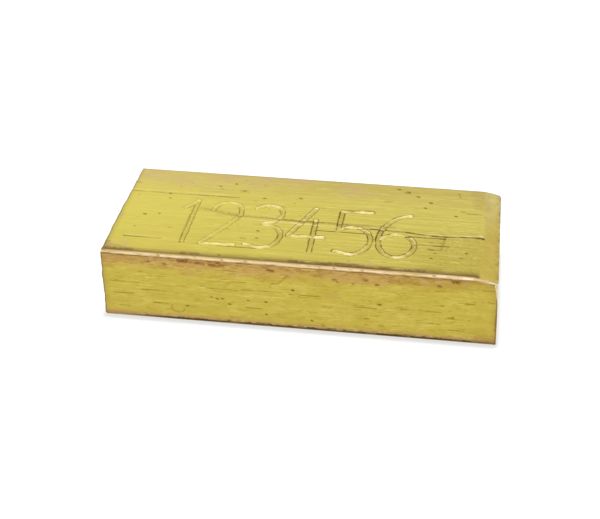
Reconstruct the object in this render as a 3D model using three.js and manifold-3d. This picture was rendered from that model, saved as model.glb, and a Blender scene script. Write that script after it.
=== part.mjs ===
// A short length of solid brass flat bar.
//
// The bar is one drawn piece, cut off at both ends. Its section carries a raised lip and a
// burnished bevel along the front top edge, and small roundings on the other three edges.
// The left end is sawn square. The right end is sawn slightly off square, and its top is
// rolled down in a convex slope that takes the bevel with it. Three corners are knocked.
//
// Millimetres. +X runs along the bar to the rolled end, +Y to the back and +Z up. The
// origin is the centre of the footprint, on the underside.

import * as THREE from 'three';
import { mergeVertices } from 'three/addons/utils/BufferGeometryUtils.js';
import Module from 'manifold-3d';

// ---- Driving dimensions ----

const barLength = 100;
const barWidth = 44.45;
const barThickness = 19.05;

// Rounding left by the drawing die.
const backEdgeRadius = 0.6;
const undersideEdgeRadius = 0.35;

// Front top edge: a lip that rises out of the top face, then a bevel down to the front face.
const lipHeight = 0.18;
const lipRun = 2.9;
const lipSweep = 1.0;
const bevelWidth = 1.1;
const bevelDrop = 0.55;
const bevelCrown = 0.07;

// Right end: the top is rolled down towards the saw cut.
const endRollLength = 6.2;
const endRollDrop = 1.05;
const endRollSharpness = 1.7;
const lipFadeLength = 0.8;
const endBevelWidth = 0.5;
const sawLean = 0.68;

// Knocked corners, each as its setback along the bar, across it and up or down it.
const frontCornerKnock = { along: 1.0, across: 1.3, height: 5.2 };
const backCornerKnock = { along: 0.7, across: 1.1, height: 1.6 };
const footCornerKnock = { along: 0.75, across: 1.0, height: 0.8 };

// Fineness of the facets.
const arcSegments = 6;
const straightSteps = 8;
const endRollSteps = 16;

// ---- Derived places ----

const halfLength = barLength / 2;
const halfWidth = barWidth / 2;
const front = -halfWidth;
const back = halfWidth;
const topLevel = barThickness - lipHeight;
const lipCrestY = front + bevelWidth;
const lipFootY = lipCrestY + lipRun;
const bevelFootZ = topLevel - bevelDrop;
const rollStart = halfLength - endRollLength;
const lipFadeStart = rollStart - lipFadeLength;

const brass = new THREE.MeshStandardMaterial({
  name: 'brass',
  color: new THREE.Color(0.84, 0.73, 0.33),
  roughness: 0.34,
  metalness: 1.0,
});

// The control point of a curve whose middle stands proud of its chord by the crown.
function crownControl(from, to, crown) {
  const chord = to.clone().sub(from).normalize();
  const outward = new THREE.Vector2(chord.y, -chord.x);
  return from.clone().add(to).divideScalar(2).addScaledVector(outward, 2 * crown);
}

// The bar's section, drawn with the front at the left and the underside below.
function barSection() {
  const section = new THREE.Shape();
  const crest = new THREE.Vector2(lipCrestY, barThickness);
  const bevelFoot = new THREE.Vector2(front, bevelFootZ);
  const bevelControl = crownControl(crest, bevelFoot, bevelCrown);
  const quarter = Math.PI / 2;
  section.moveTo(front + undersideEdgeRadius, 0);
  section.lineTo(back - undersideEdgeRadius, 0);
  section.absarc(back - undersideEdgeRadius, undersideEdgeRadius, undersideEdgeRadius, -quarter, 0);
  section.lineTo(back, topLevel - backEdgeRadius);
  section.absarc(back - backEdgeRadius, topLevel - backEdgeRadius, backEdgeRadius, 0, quarter);
  section.lineTo(lipFootY, topLevel);
  section.quadraticCurveTo(crest.x + lipSweep, topLevel, crest.x, crest.y);
  section.quadraticCurveTo(bevelControl.x, bevelControl.y, bevelFoot.x, bevelFoot.y);
  section.lineTo(front, undersideEdgeRadius);
  section.absarc(
    front + undersideEdgeRadius,
    undersideEdgeRadius,
    undersideEdgeRadius,
    2 * quarter,
    3 * quarter,
  );
  return section;
}

// Spreads even steps over the bar: a few along the straight part, most of them at the rolled end.
function stationAt(share) {
  const straightShare = straightSteps / (straightSteps + endRollSteps);
  if (share <= straightShare) {
    return THREE.MathUtils.mapLinear(share, 0, straightShare, -halfLength, lipFadeStart);
  }
  return THREE.MathUtils.mapLinear(share, straightShare, 1, lipFadeStart, halfLength);
}

// The section swept along X, with its steps gathered at the rolled end.
function straightBar() {
  const bar = new THREE.ExtrudeGeometry(barSection(), {
    depth: 1,
    steps: straightSteps + endRollSteps,
    curveSegments: arcSegments,
    bevelEnabled: false,
  });
  const alongX = new THREE.Vector3(1, 0, 0);
  const alongY = new THREE.Vector3(0, 1, 0);
  const alongZ = new THREE.Vector3(0, 0, 1);
  bar.applyMatrix4(new THREE.Matrix4().makeBasis(alongY, alongZ, alongX));
  const points = bar.attributes.position;
  for (let i = 0; i < points.count; i += 1) {
    points.setX(i, stationAt(points.getX(i)));
  }
  return bar;
}

// How far the top has been rolled down at one place along the bar.
function rollDropAt(x) {
  const share = THREE.MathUtils.clamp((x - rollStart) / endRollLength, 0, 1);
  return endRollDrop * share ** endRollSharpness;
}

// How much of the lip is left at one place along the bar, from all of it to none.
function lipLeftAt(x) {
  return 1 - THREE.MathUtils.smoothstep(x, lipFadeStart, rollStart + lipFadeLength);
}

// Moves one point of the straight bar to its place on the rolled and leaning end.
function workEnd(point) {
  const endShare = THREE.MathUtils.clamp((point.x - lipFadeStart) / (halfLength - lipFadeStart), 0, 1);
  const worked = point.clone();
  if (point.z > barThickness / 2) {
    const lip = Math.max(point.z - topLevel, 0);
    worked.z -= lip * (1 - lipLeftAt(point.x));
    worked.z -= rollDropAt(point.x);
    if (point.y < lipFootY) {
      const narrowing = THREE.MathUtils.lerp(1, endBevelWidth / bevelWidth, endShare);
      worked.y = front + (point.y - front) * narrowing;
    }
  }
  worked.x -= sawLean * (point.z / barThickness) * endShare;
  return worked;
}

// The bar with its right end worked.
function workedBar() {
  const bar = straightBar();
  const points = bar.attributes.position;
  const point = new THREE.Vector3();
  for (let i = 0; i < points.count; i += 1) {
    const worked = workEnd(point.fromBufferAttribute(points, i));
    points.setXYZ(i, worked.x, worked.y, worked.z);
  }
  return bar;
}

// A block whose inner face is the plane that cuts the three setbacks from one corner.
function cornerCutter(corner, outward, knock) {
  const normal = new THREE.Vector3(
    outward.x / knock.along,
    outward.y / knock.across,
    outward.z / knock.height,
  ).normalize();
  const setback = outward.x * knock.along * normal.x;
  const faceCentre = corner.clone().addScaledVector(normal, -setback);
  const size = 4 * Math.max(knock.along, knock.across, knock.height);
  const up = new THREE.Vector3(0, 0, 1);
  const block = new THREE.BoxGeometry(size, size, size);
  block.translate(0, 0, size / 2);
  block.applyQuaternion(new THREE.Quaternion().setFromUnitVectors(up, normal));
  block.translate(faceCentre.x, faceCentre.y, faceCentre.z);
  return block;
}

// The cutters for the three knocked corners.
function cornerCutters() {
  const endTopZ = topLevel - endRollDrop;
  const endTopX = halfLength - sawLean * (topLevel / barThickness);
  return [
    cornerCutter(
      new THREE.Vector3(endTopX, front, endTopZ),
      new THREE.Vector3(1, -1, 1),
      frontCornerKnock,
    ),
    cornerCutter(
      new THREE.Vector3(endTopX, back, endTopZ),
      new THREE.Vector3(1, 1, 1),
      backCornerKnock,
    ),
    cornerCutter(
      new THREE.Vector3(-halfLength, front, 0),
      new THREE.Vector3(-1, -1, -1),
      footCornerKnock,
    ),
  ];
}

const wasm = await Module();
wasm.setup();

// A closed three.js geometry as a solid that can be cut.
function solidOf(geometry) {
  const bare = geometry.clone();
  bare.deleteAttribute('normal');
  bare.deleteAttribute('uv');
  const merged = mergeVertices(bare);
  return new wasm.Manifold(
    new wasm.Mesh({
      numProp: 3,
      vertProperties: new Float32Array(merged.attributes.position.array),
      triVerts: new Uint32Array(merged.index.array),
    }),
  );
}

// A cut solid as a three.js geometry again.
function geometryOf(solid) {
  const { vertProperties, triVerts } = solid.getMesh();
  const geometry = new THREE.BufferGeometry();
  geometry.setAttribute('position', new THREE.BufferAttribute(new Float32Array(vertProperties), 3));
  geometry.setIndex(new THREE.BufferAttribute(new Uint32Array(triVerts), 1));
  geometry.computeVertexNormals();
  return geometry;
}

// The finished bar: the worked sweep with its corners knocked off.
function brassBar() {
  let solid = solidOf(workedBar());
  for (const cutter of cornerCutters()) {
    solid = solid.subtract(solidOf(cutter));
  }
  const bar = new THREE.Mesh(geometryOf(solid), brass);
  bar.name = 'brass_bar';
  return bar;
}

const group = new THREE.Group();
group.name = 'brass_flat_bar';
group.add(brassBar());

export default group;
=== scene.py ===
"""A short length of brass flat bar: drawn faces, worked edges, hand-cut numerals, scores and tarnish.

The bar is swept by Geometry Nodes from its section and its stations, worked at its ends, and
then cut by its marks. Its sizes and its node trees are in millimetres, and the finished mesh is
scaled to metres. Marks on the top are placed from the square end and from the back edge, and
marks on the front from the square end and down from the top.
"""

import logging
import math
from dataclasses import asdict, dataclass, field
from enum import Enum
from functools import cached_property
from typing import Callable, Mapping, Optional, Sequence, Union

import bpy
from mathutils import Matrix, Vector


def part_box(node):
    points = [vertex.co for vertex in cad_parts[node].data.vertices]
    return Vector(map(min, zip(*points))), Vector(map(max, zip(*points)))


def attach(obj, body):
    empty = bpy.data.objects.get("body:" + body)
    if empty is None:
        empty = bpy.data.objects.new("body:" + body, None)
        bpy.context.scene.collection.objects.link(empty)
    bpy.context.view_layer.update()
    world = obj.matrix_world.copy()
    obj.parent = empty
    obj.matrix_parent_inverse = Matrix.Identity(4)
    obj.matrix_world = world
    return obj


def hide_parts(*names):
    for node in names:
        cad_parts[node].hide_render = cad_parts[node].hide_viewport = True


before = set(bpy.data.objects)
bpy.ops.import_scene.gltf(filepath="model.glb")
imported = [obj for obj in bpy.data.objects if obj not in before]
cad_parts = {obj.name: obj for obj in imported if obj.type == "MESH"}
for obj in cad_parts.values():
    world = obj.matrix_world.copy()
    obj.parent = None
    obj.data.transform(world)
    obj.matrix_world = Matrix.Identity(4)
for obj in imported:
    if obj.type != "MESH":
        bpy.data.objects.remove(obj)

LOG = logging.getLogger("brass_bar")
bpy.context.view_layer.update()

MM = 0.001
NODE = "brass_bar"
PIECE = "drawn_bar"
BODY = "root"

# The Mix node's sockets for colours.
MIX_FIRST, MIX_SECOND, MIX_RESULT = 6, 7, 2
# The detail and the roughness of a noise that breaks a stain's border up.
RAGGED = (3.0, 0.6)
# How much of a dash's or a pit's width is solid before it fades.
SOLID_SHARE = 0.4

Colour = tuple[float, float, float, float]
Place = tuple[float, float]
Value = Union[float, str, Sequence[float], "Field"]
Inputs = Optional[Mapping[Union[int, str], Value]]
Rows = Sequence[Sequence[float]]


def from_screen(red: int, green: int, blue: int) -> Colour:
    """Turns a colour as read on a screen into the linear colour that a shader takes.

    Args:
        red: Red from 0 to 255.
        green: Green from 0 to 255.
        blue: Blue from 0 to 255.

    Returns:
        The linear colour with full alpha.
    """
    channels = [part / 255.0 for part in (red, green, blue)]
    linear = [c / 12.92 if c <= 0.04045 else ((c + 0.055) / 1.055) ** 2.4 for c in channels]
    return (linear[0], linear[1], linear[2], 1.0)


def placed(name: str, content: Optional[bpy.types.ID]) -> bpy.types.Object:
    """Makes an object and puts it in the scene.

    Args:
        name: Its name.
        content: Its mesh, curve, light or camera.

    Returns:
        The object.
    """
    item = bpy.data.objects.new(name, content)
    bpy.context.scene.collection.objects.link(item)
    return item


# ---------------------------------------------------------------------------
# Node trees
# ---------------------------------------------------------------------------


class Field:
    """What a socket gives: a geometry, a colour, a number or a vector."""

    def __init__(self, bench: "Bench", socket: bpy.types.NodeSocket) -> None:
        """Keeps the socket and the bench of its tree."""
        self.bench = bench
        self.socket = socket


class NumberField(Field):
    """A number, on which plain arithmetic and comparisons add Math nodes."""

    def __add__(self, other: Value) -> "NumberField":
        """Adds."""
        return self.bench.maths("ADD", self, other)

    def __sub__(self, other: Value) -> "NumberField":
        """Takes a value away from it."""
        return self.bench.maths("SUBTRACT", self, other)

    def __rsub__(self, other: Value) -> "NumberField":
        """Takes it away from a value."""
        return self.bench.maths("SUBTRACT", other, self)

    def __mul__(self, other: Value) -> "NumberField":
        """Multiplies."""
        return self.bench.maths("MULTIPLY", self, other)

    def __truediv__(self, other: Value) -> "NumberField":
        """Divides."""
        return self.bench.maths("DIVIDE", self, other)

    def __pow__(self, other: Value) -> "NumberField":
        """Raises it to a power."""
        return self.bench.maths("POWER", self, other)

    def __neg__(self) -> "NumberField":
        """Turns its sign round."""
        return self.bench.maths("MULTIPLY", self, -1.0)

    def __abs__(self) -> "NumberField":
        """Drops its sign."""
        return self.bench.maths("ABSOLUTE", self)

    def __lt__(self, other: Value) -> "NumberField":
        """Gives 1 where it is less, and 0 elsewhere."""
        return self.bench.maths("LESS_THAN", self, other)

    def __gt__(self, other: Value) -> "NumberField":
        """Gives 1 where it is greater, and 0 elsewhere."""
        return self.bench.maths("GREATER_THAN", self, other)

    def at_least(self, other: Value) -> "NumberField":
        """Gives the greater of the two."""
        return self.bench.maths("MAXIMUM", self, other)

    def floor(self) -> "NumberField":
        """Rounds it down."""
        return self.bench.maths("FLOOR", self)

    def fraction(self) -> "NumberField":
        """Gives what rounding down takes off."""
        return self.bench.maths("FRACT", self)

    def between(self, low: float, high: float) -> "NumberField":
        """Spreads it between two numbers, from low at 0 to high at 1."""
        return self * (high - low) + low

    def ease(self, start: Value, end: Value, low: Value = 0.0, high: Value = 1.0) -> "NumberField":
        """Turns it into a smooth step from low at the start to high at the end, level past them."""
        return self.bench.mapped("SMOOTHSTEP", self, start, end, low, high)

    def fade(self, start: Value, end: Value) -> "NumberField":
        """Turns it into a smooth step down from 1 at the start to 0 at the end."""
        return self.ease(start, end, 1.0, 0.0)

    def ramp(self, start: Value, end: Value, low: Value = 0.0, high: Value = 1.0) -> "NumberField":
        """Turns it into a straight ramp from low at the start to high at the end, level past them."""
        return self.bench.mapped("LINEAR", self, start, end, low, high)


class VectorField(Field):
    """A vector, on which plain arithmetic adds Vector Math nodes."""

    def maths(self, operation: str, other: Value) -> "VectorField":
        """Adds a Vector Math node."""
        return self.bench.vector("ShaderNodeVectorMath", {0: self, 1: other}, operation=operation)

    def __add__(self, other: Value) -> "VectorField":
        """Adds."""
        return self.maths("ADD", other)

    def __sub__(self, other: Value) -> "VectorField":
        """Takes a vector away from it."""
        return self.maths("SUBTRACT", other)

    def __mul__(self, other: Value) -> "VectorField":
        """Multiplies each part by its own factor."""
        return self.maths("MULTIPLY", other)

    def scaled(self, factor: Value) -> "VectorField":
        """Multiplies the whole vector by one factor."""
        return self.bench.vector("ShaderNodeVectorMath", {0: self, "Scale": factor}, operation="SCALE")

    def unit(self) -> "VectorField":
        """Gives its direction."""
        return self.bench.vector("ShaderNodeVectorMath", {0: self}, operation="NORMALIZE")

    def dot(self, other: Value) -> NumberField:
        """Gives its dot product with a vector."""
        inputs = {0: self, 1: other}
        return self.bench.number("ShaderNodeVectorMath", inputs, "Value", operation="DOT_PRODUCT")

    def parts(self) -> tuple[NumberField, ...]:
        """Splits it into its three numbers."""
        split = self.bench.add("ShaderNodeSeparateXYZ", {0: self})
        return tuple(NumberField(self.bench, socket) for socket in split.outputs)

    def noise(self, scale: Value, detail: float = 2.0, roughness: float = 0.5) -> NumberField:
        """Reads a noise at it.

        Args:
            scale: Waves for each unit.
            detail: Octaves of finer noise.
            roughness: How strong the finer noise is.

        Returns:
            A number around 0.5.
        """
        sizes = {"Vector": self, "Scale": scale, "Detail": detail, "Roughness": roughness}
        return self.bench.number("ShaderNodeTexNoise", sizes)


FIELD_KINDS = {"VALUE": NumberField, "VECTOR": VectorField}


class Bench:
    """A node tree being built, with short calls for the nodes that shapes and finishes use."""

    def __init__(self, tree: bpy.types.NodeTree) -> None:
        """Keeps the tree that nodes are added to."""
        self.tree = tree

    def add(self, kind: str, inputs: Inputs = None, **settings: object) -> bpy.types.Node:
        """Adds one node.

        Args:
            kind: The node's type name.
            inputs: Values for its inputs, under their names or places.
            **settings: Properties set on the node.

        Returns:
            The new node.
        """
        node = self.tree.nodes.new(kind)
        for name, setting in settings.items():
            setattr(node, name, setting)
        for key, value in (inputs or {}).items():
            self.feed(node.inputs[key], value)
        return node

    def feed(self, socket: bpy.types.NodeSocket, value: Value) -> None:
        """Links a socket to a field, or sets its own value.

        Args:
            socket: The input socket.
            value: A field, or a plain value.
        """
        if isinstance(value, Field):
            self.tree.links.new(value.socket, socket)
        else:
            socket.default_value = value

    def number(
        self, kind: str, inputs: Inputs = None, output: Union[int, str] = 0, **settings: object
    ) -> NumberField:
        """Adds a node and takes one of its outputs as a number."""
        return NumberField(self, self.add(kind, inputs, **settings).outputs[output])

    def vector(
        self, kind: str, inputs: Inputs = None, output: Union[int, str] = 0, **settings: object
    ) -> VectorField:
        """Adds a node and takes one of its outputs as a vector."""
        return VectorField(self, self.add(kind, inputs, **settings).outputs[output])

    def maths(self, operation: str, *values: Value, clamp: bool = False) -> NumberField:
        """Adds a Math node, whose result may be kept between 0 and 1."""
        return self.number("ShaderNodeMath", dict(enumerate(values)), operation=operation, use_clamp=clamp)

    def mapped(self, interpolation: str, *values: Value) -> NumberField:
        """Adds a Map Range node."""
        return self.number("ShaderNodeMapRange", dict(enumerate(values)), interpolation_type=interpolation)

    def join(self, *parts: Value) -> VectorField:
        """Joins three numbers into a vector."""
        return self.vector("ShaderNodeCombineXYZ", dict(enumerate(parts)))

    def blend(self, share: Value, first: Value, second: Value) -> Field:
        """Mixes two colours, from the first at 0 to the second at 1."""
        inputs = {"Factor": share, MIX_FIRST: first, MIX_SECOND: second}
        return Field(self, self.add("ShaderNodeMix", inputs, data_type="RGBA").outputs[MIX_RESULT])


class GroupBench(Bench):
    """A node group being built. Its inputs are read by their names, as in group["Reach"]."""

    def __init__(
        self, name: str, kind: str, inputs: Mapping[str, Union[float, str]], outputs: Mapping[str, str]
    ) -> None:
        """Makes the group with its named sockets.

        Args:
            name: The group's name.
            kind: The node tree's type name.
            inputs: For each input its default number, or the kind of its socket.
            outputs: For each output the kind of its socket.
        """
        super().__init__(bpy.data.node_groups.new(name, kind))
        for label, given in inputs.items():
            typed = given if isinstance(given, str) else "Float"
            socket = self.tree.interface.new_socket(label, in_out="INPUT", socket_type=f"NodeSocket{typed}")
            if not isinstance(given, str):
                socket.default_value = given
        for label, typed in outputs.items():
            self.tree.interface.new_socket(label, in_out="OUTPUT", socket_type=f"NodeSocket{typed}")
        self.source = self.add("NodeGroupInput").outputs
        self.sink = self.add("NodeGroupOutput").inputs

    def __getitem__(self, label: str) -> Field:
        """Gives one of the group's inputs as a field."""
        socket = self.source[label]
        return FIELD_KINDS.get(socket.type, Field)(self, socket)

    def give(self, label: str, value: Field) -> None:
        """Feeds one of the group's outputs."""
        self.feed(self.sink[label], value)


# ---------------------------------------------------------------------------
# Marks cut into the bar
# ---------------------------------------------------------------------------


class Side(Enum):
    """The face that a mark is cut in."""

    TOP = "top"
    FRONT = "front"


MARK_SIZES = ("reach", "depth", "lip", "stain")


@dataclass(frozen=True)
class Mark:
    """One groove, score or dint.

    Attributes:
        path: Places it runs through, as millimetres from the square end and from the back
            edge on the top, or down from the top on the front.
        reach: Half its width.
        depth: How deep it is cut.
        lip: How high it raises the metal beside it.
        stain: How much dirt it holds, from 0 to 1.
        side: The face it is cut in.
        curved: Whether the path is a smooth curve rather than straight stretches.
    """

    path: tuple[Place, ...]
    reach: float
    depth: float = 0.0
    lip: float = 0.0
    stain: float = 1.0
    side: Side = Side.TOP
    curved: bool = False

    def line(self, places: Sequence[Vector], step: float) -> list[Vector]:
        """Divides the mark's path.

        Args:
            places: Where the path's places lie on the bar.
            step: The longest stretch between the returned points.

        Returns:
            Points on the path, with both ends.
        """
        before_first, after_last = 2 * places[0] - places[1], 2 * places[-1] - places[-2]
        padded = [before_first, *places, after_last]
        points: list[Vector] = []
        for before, start, end, after in zip(padded, padded[1:], padded[2:], padded[3:]):
            count = max(1, math.ceil((end - start).length / step))
            bend = catmull_rom if self.curved else straight_on
            points.extend(bend(before, start, end, after, k / count) for k in range(count))
        return [*points, places[-1].copy()]


def catmull_rom(before: Vector, start: Vector, end: Vector, after: Vector, share: float) -> Vector:
    """Gives a point of the smooth curve through four places, between the middle two.

    Args:
        before: The place before the stretch.
        start: Where the stretch starts.
        end: Where it ends.
        after: The place after it.
        share: How far along the stretch the point lies, from 0 to 1.

    Returns:
        The point.
    """
    slope, bow = end - before, 2 * before - 5 * start + 4 * end - after
    twist = 3 * start - before - 3 * end + after
    return 0.5 * (2 * start + slope * share + bow * share**2 + twist * share**3)


def straight_on(before: Vector, start: Vector, end: Vector, after: Vector, share: float) -> Vector:
    """Gives a point of the straight stretch between the middle two of four places."""
    return start.lerp(end, share)


@dataclass(frozen=True)
class MarkSet:
    """Marks of one kind, made into a wire that carries their sizes.

    Attributes:
        name: The set's name.
        marks: The marks.
        step: The longest stretch of the wire, in millimetres.
    """

    name: str
    marks: Sequence[Mark]
    step: float = 0.3

    def wire(self, bar: "FlatBar") -> bpy.types.Object:
        """Builds the wire.

        Args:
            bar: The bar that the marks lie on.

        Returns:
            An object of edges in millimetres, with each mark's sizes at its points.
        """
        points: list[Vector] = []
        edges: list[tuple[int, int]] = []
        sizes: list[tuple[float, ...]] = []
        for mark in self.marks:
            line = mark.line([bar.place_on(mark.side, *place) for place in mark.path], self.step)
            start = len(points)
            points.extend(line)
            edges.extend((start + k, start + k + 1) for k in range(len(line) - 1))
            sizes.extend([tuple(getattr(mark, label) for label in MARK_SIZES)] * len(line))
        mesh = bpy.data.meshes.new(self.name)
        mesh.from_pydata([tuple(point) for point in points], edges, [])
        for label, column in zip(MARK_SIZES, zip(*sizes)):
            mesh.attributes.new(label, "FLOAT", "POINT").data.foreach_set("value", column)
        LOG.info("%s: %d marks", self.name, len(self.marks))
        return placed(self.name, mesh)


# Each numeral's left side from the square end, and its strokes' places: millimetres to the
# right of that side, and shares of the way from head to foot.
NUMERAL_STROKES: dict[float, Sequence[Sequence[Place]]] = {
    17.0: (
        ((0.0, 0.19), (2.5, 0.02)),
        ((2.6, 0.0), (2.3, 1.0)),
    ),
    24.2: (
        (
            (0.2, 0.2), (1.4, 0.06), (4.0, 0.0), (6.8, 0.07),
            (7.7, 0.21), (6.9, 0.37), (3.9, 0.66), (0.0, 0.98),
        ),
        ((0.0, 1.0), (8.3, 0.985)),
    ),
    35.4: (
        ((0.3, 0.09), (3.0, 0.0), (6.2, 0.05), (7.4, 0.2), (6.0, 0.37), (2.8, 0.45)),
        ((2.8, 0.45), (6.6, 0.52), (8.3, 0.7), (7.2, 0.91), (4.0, 1.0), (0.0, 0.94)),
    ),
    45.6: (
        ((5.6, 0.0), (0.0, 0.68)),
        ((0.0, 0.69), (9.0, 0.67)),
        ((6.2, 0.27), (6.4, 1.0)),
    ),
    58.0: (
        ((0.3, 0.02), (8.0, 0.0)),
        ((0.2, 0.03), (0.1, 0.45)),
        ((0.1, 0.45), (3.6, 0.38), (7.2, 0.46), (8.7, 0.66), (7.6, 0.88), (4.2, 1.0), (0.0, 0.95)),
    ),
    68.4: (
        (
            (7.6, 0.02), (4.0, 0.12), (1.1, 0.36), (0.2, 0.63), (1.4, 0.88), (4.9, 1.0),
            (8.3, 0.91), (9.5, 0.72), (8.0, 0.54), (4.6, 0.48), (0.9, 0.59),
        ),
    ),
}


@dataclass(frozen=True)
class Numerals:
    """The plain numerals 1 to 6, cut by hand across the top with a narrow chisel.

    Attributes:
        head: Where their tops lie, from the back edge.
        foot: Where their feet lie, from the back edge.
        span: Where their row starts and ends, from the square end.
        reach: Half a stroke's width.
        depth: A stroke's depth.
        lip: The burr along a stroke.
    """

    head: float = 15.9
    foot: float = 36.9
    span: Place = (15.0, 78.5)
    reach: float = 0.7
    depth: float = 0.2
    lip: float = 0.03

    def strokes(self) -> list[Mark]:
        """Gives all six numerals' strokes. A stroke through more than two places is a curve.

        Returns:
            One mark for each stroke.
        """
        height = self.foot - self.head
        marks = []
        for left, strokes in NUMERAL_STROKES.items():
            for stroke in strokes:
                path = tuple((left + right, self.head + height * share) for right, share in stroke)
                marks.append(Mark(path, self.reach, self.depth, self.lip, curved=len(path) > 2))
        return marks


# ---------------------------------------------------------------------------
# The bar's sizes and section
# ---------------------------------------------------------------------------


@dataclass(frozen=True)
class Knock:
    """A corner knocked off the bar along one plane.

    Attributes:
        corner: The sharp corner's place in millimetres.
        outward: The signs of the three directions that point out of the bar there.
        setbacks: How far along, across and up or down from the corner the plane cuts.
    """

    corner: Vector
    outward: Vector
    setbacks: Vector

    def offset(self, bench: "ShapeBench") -> VectorField:
        """Gives the offset that brings points outside the plane back onto it.

        Args:
            bench: The tree's bench.

        Returns:
            The offset of each point.
        """
        normal = Vector([side / back for side, back in zip(self.outward, self.setbacks)]).normalized()
        height = (bench.where() - self.corner).dot(normal)
        proud = (height + self.setbacks.x * abs(normal.x)).at_least(0.0)
        return bench.join(*(proud * -part for part in normal))


@dataclass(frozen=True)
class Grid:
    """How far apart the bar's points lie, and how many stretches its curves are divided into.

    Attributes:
        under: The spacing across the underside, in millimetres.
        back: The spacing up the back.
        front: The spacing down the front.
        top: The spacing across the top.
        top_fine: The spacing across the top where the numerals are cut.
        along: The spacing along the bar.
        along_fine: The spacing along the bar where the numerals are cut.
        margin: How far the finer spacing reaches past the numerals' heads and feet.
        low_corner: Stretches of a corner of the underside.
        back_corner: Stretches of the corner between the back and the top.
        lip: Stretches of the lip.
        bevel: Stretches of the bevel.
    """

    under: float = 4.0
    back: float = 1.2
    front: float = 0.32
    top: float = 0.34
    top_fine: float = 0.21
    along: float = 0.36
    along_fine: float = 0.25
    margin: float = 1.0
    low_corner: int = 4
    back_corner: int = 6
    lip: int = 15
    bevel: int = 8


# The sizes that the bar's tree takes as its inputs.
TREE_SIZES = (
    "length", "width", "thickness", "top_level", "bevel_width", "bevel_drop", "lip_run", "underside_radius",
    "roll_start", "roll_drop", "roll_sharpness", "fade_start", "fade_end", "end_bevel_share", "saw_lean",
    "saw_meeting", "saw_step", "saw_slant", "saw_undercut", "saw_roughness", "saw_waves", "edge_break",
    "wave_height", "line_height",
)


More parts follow.
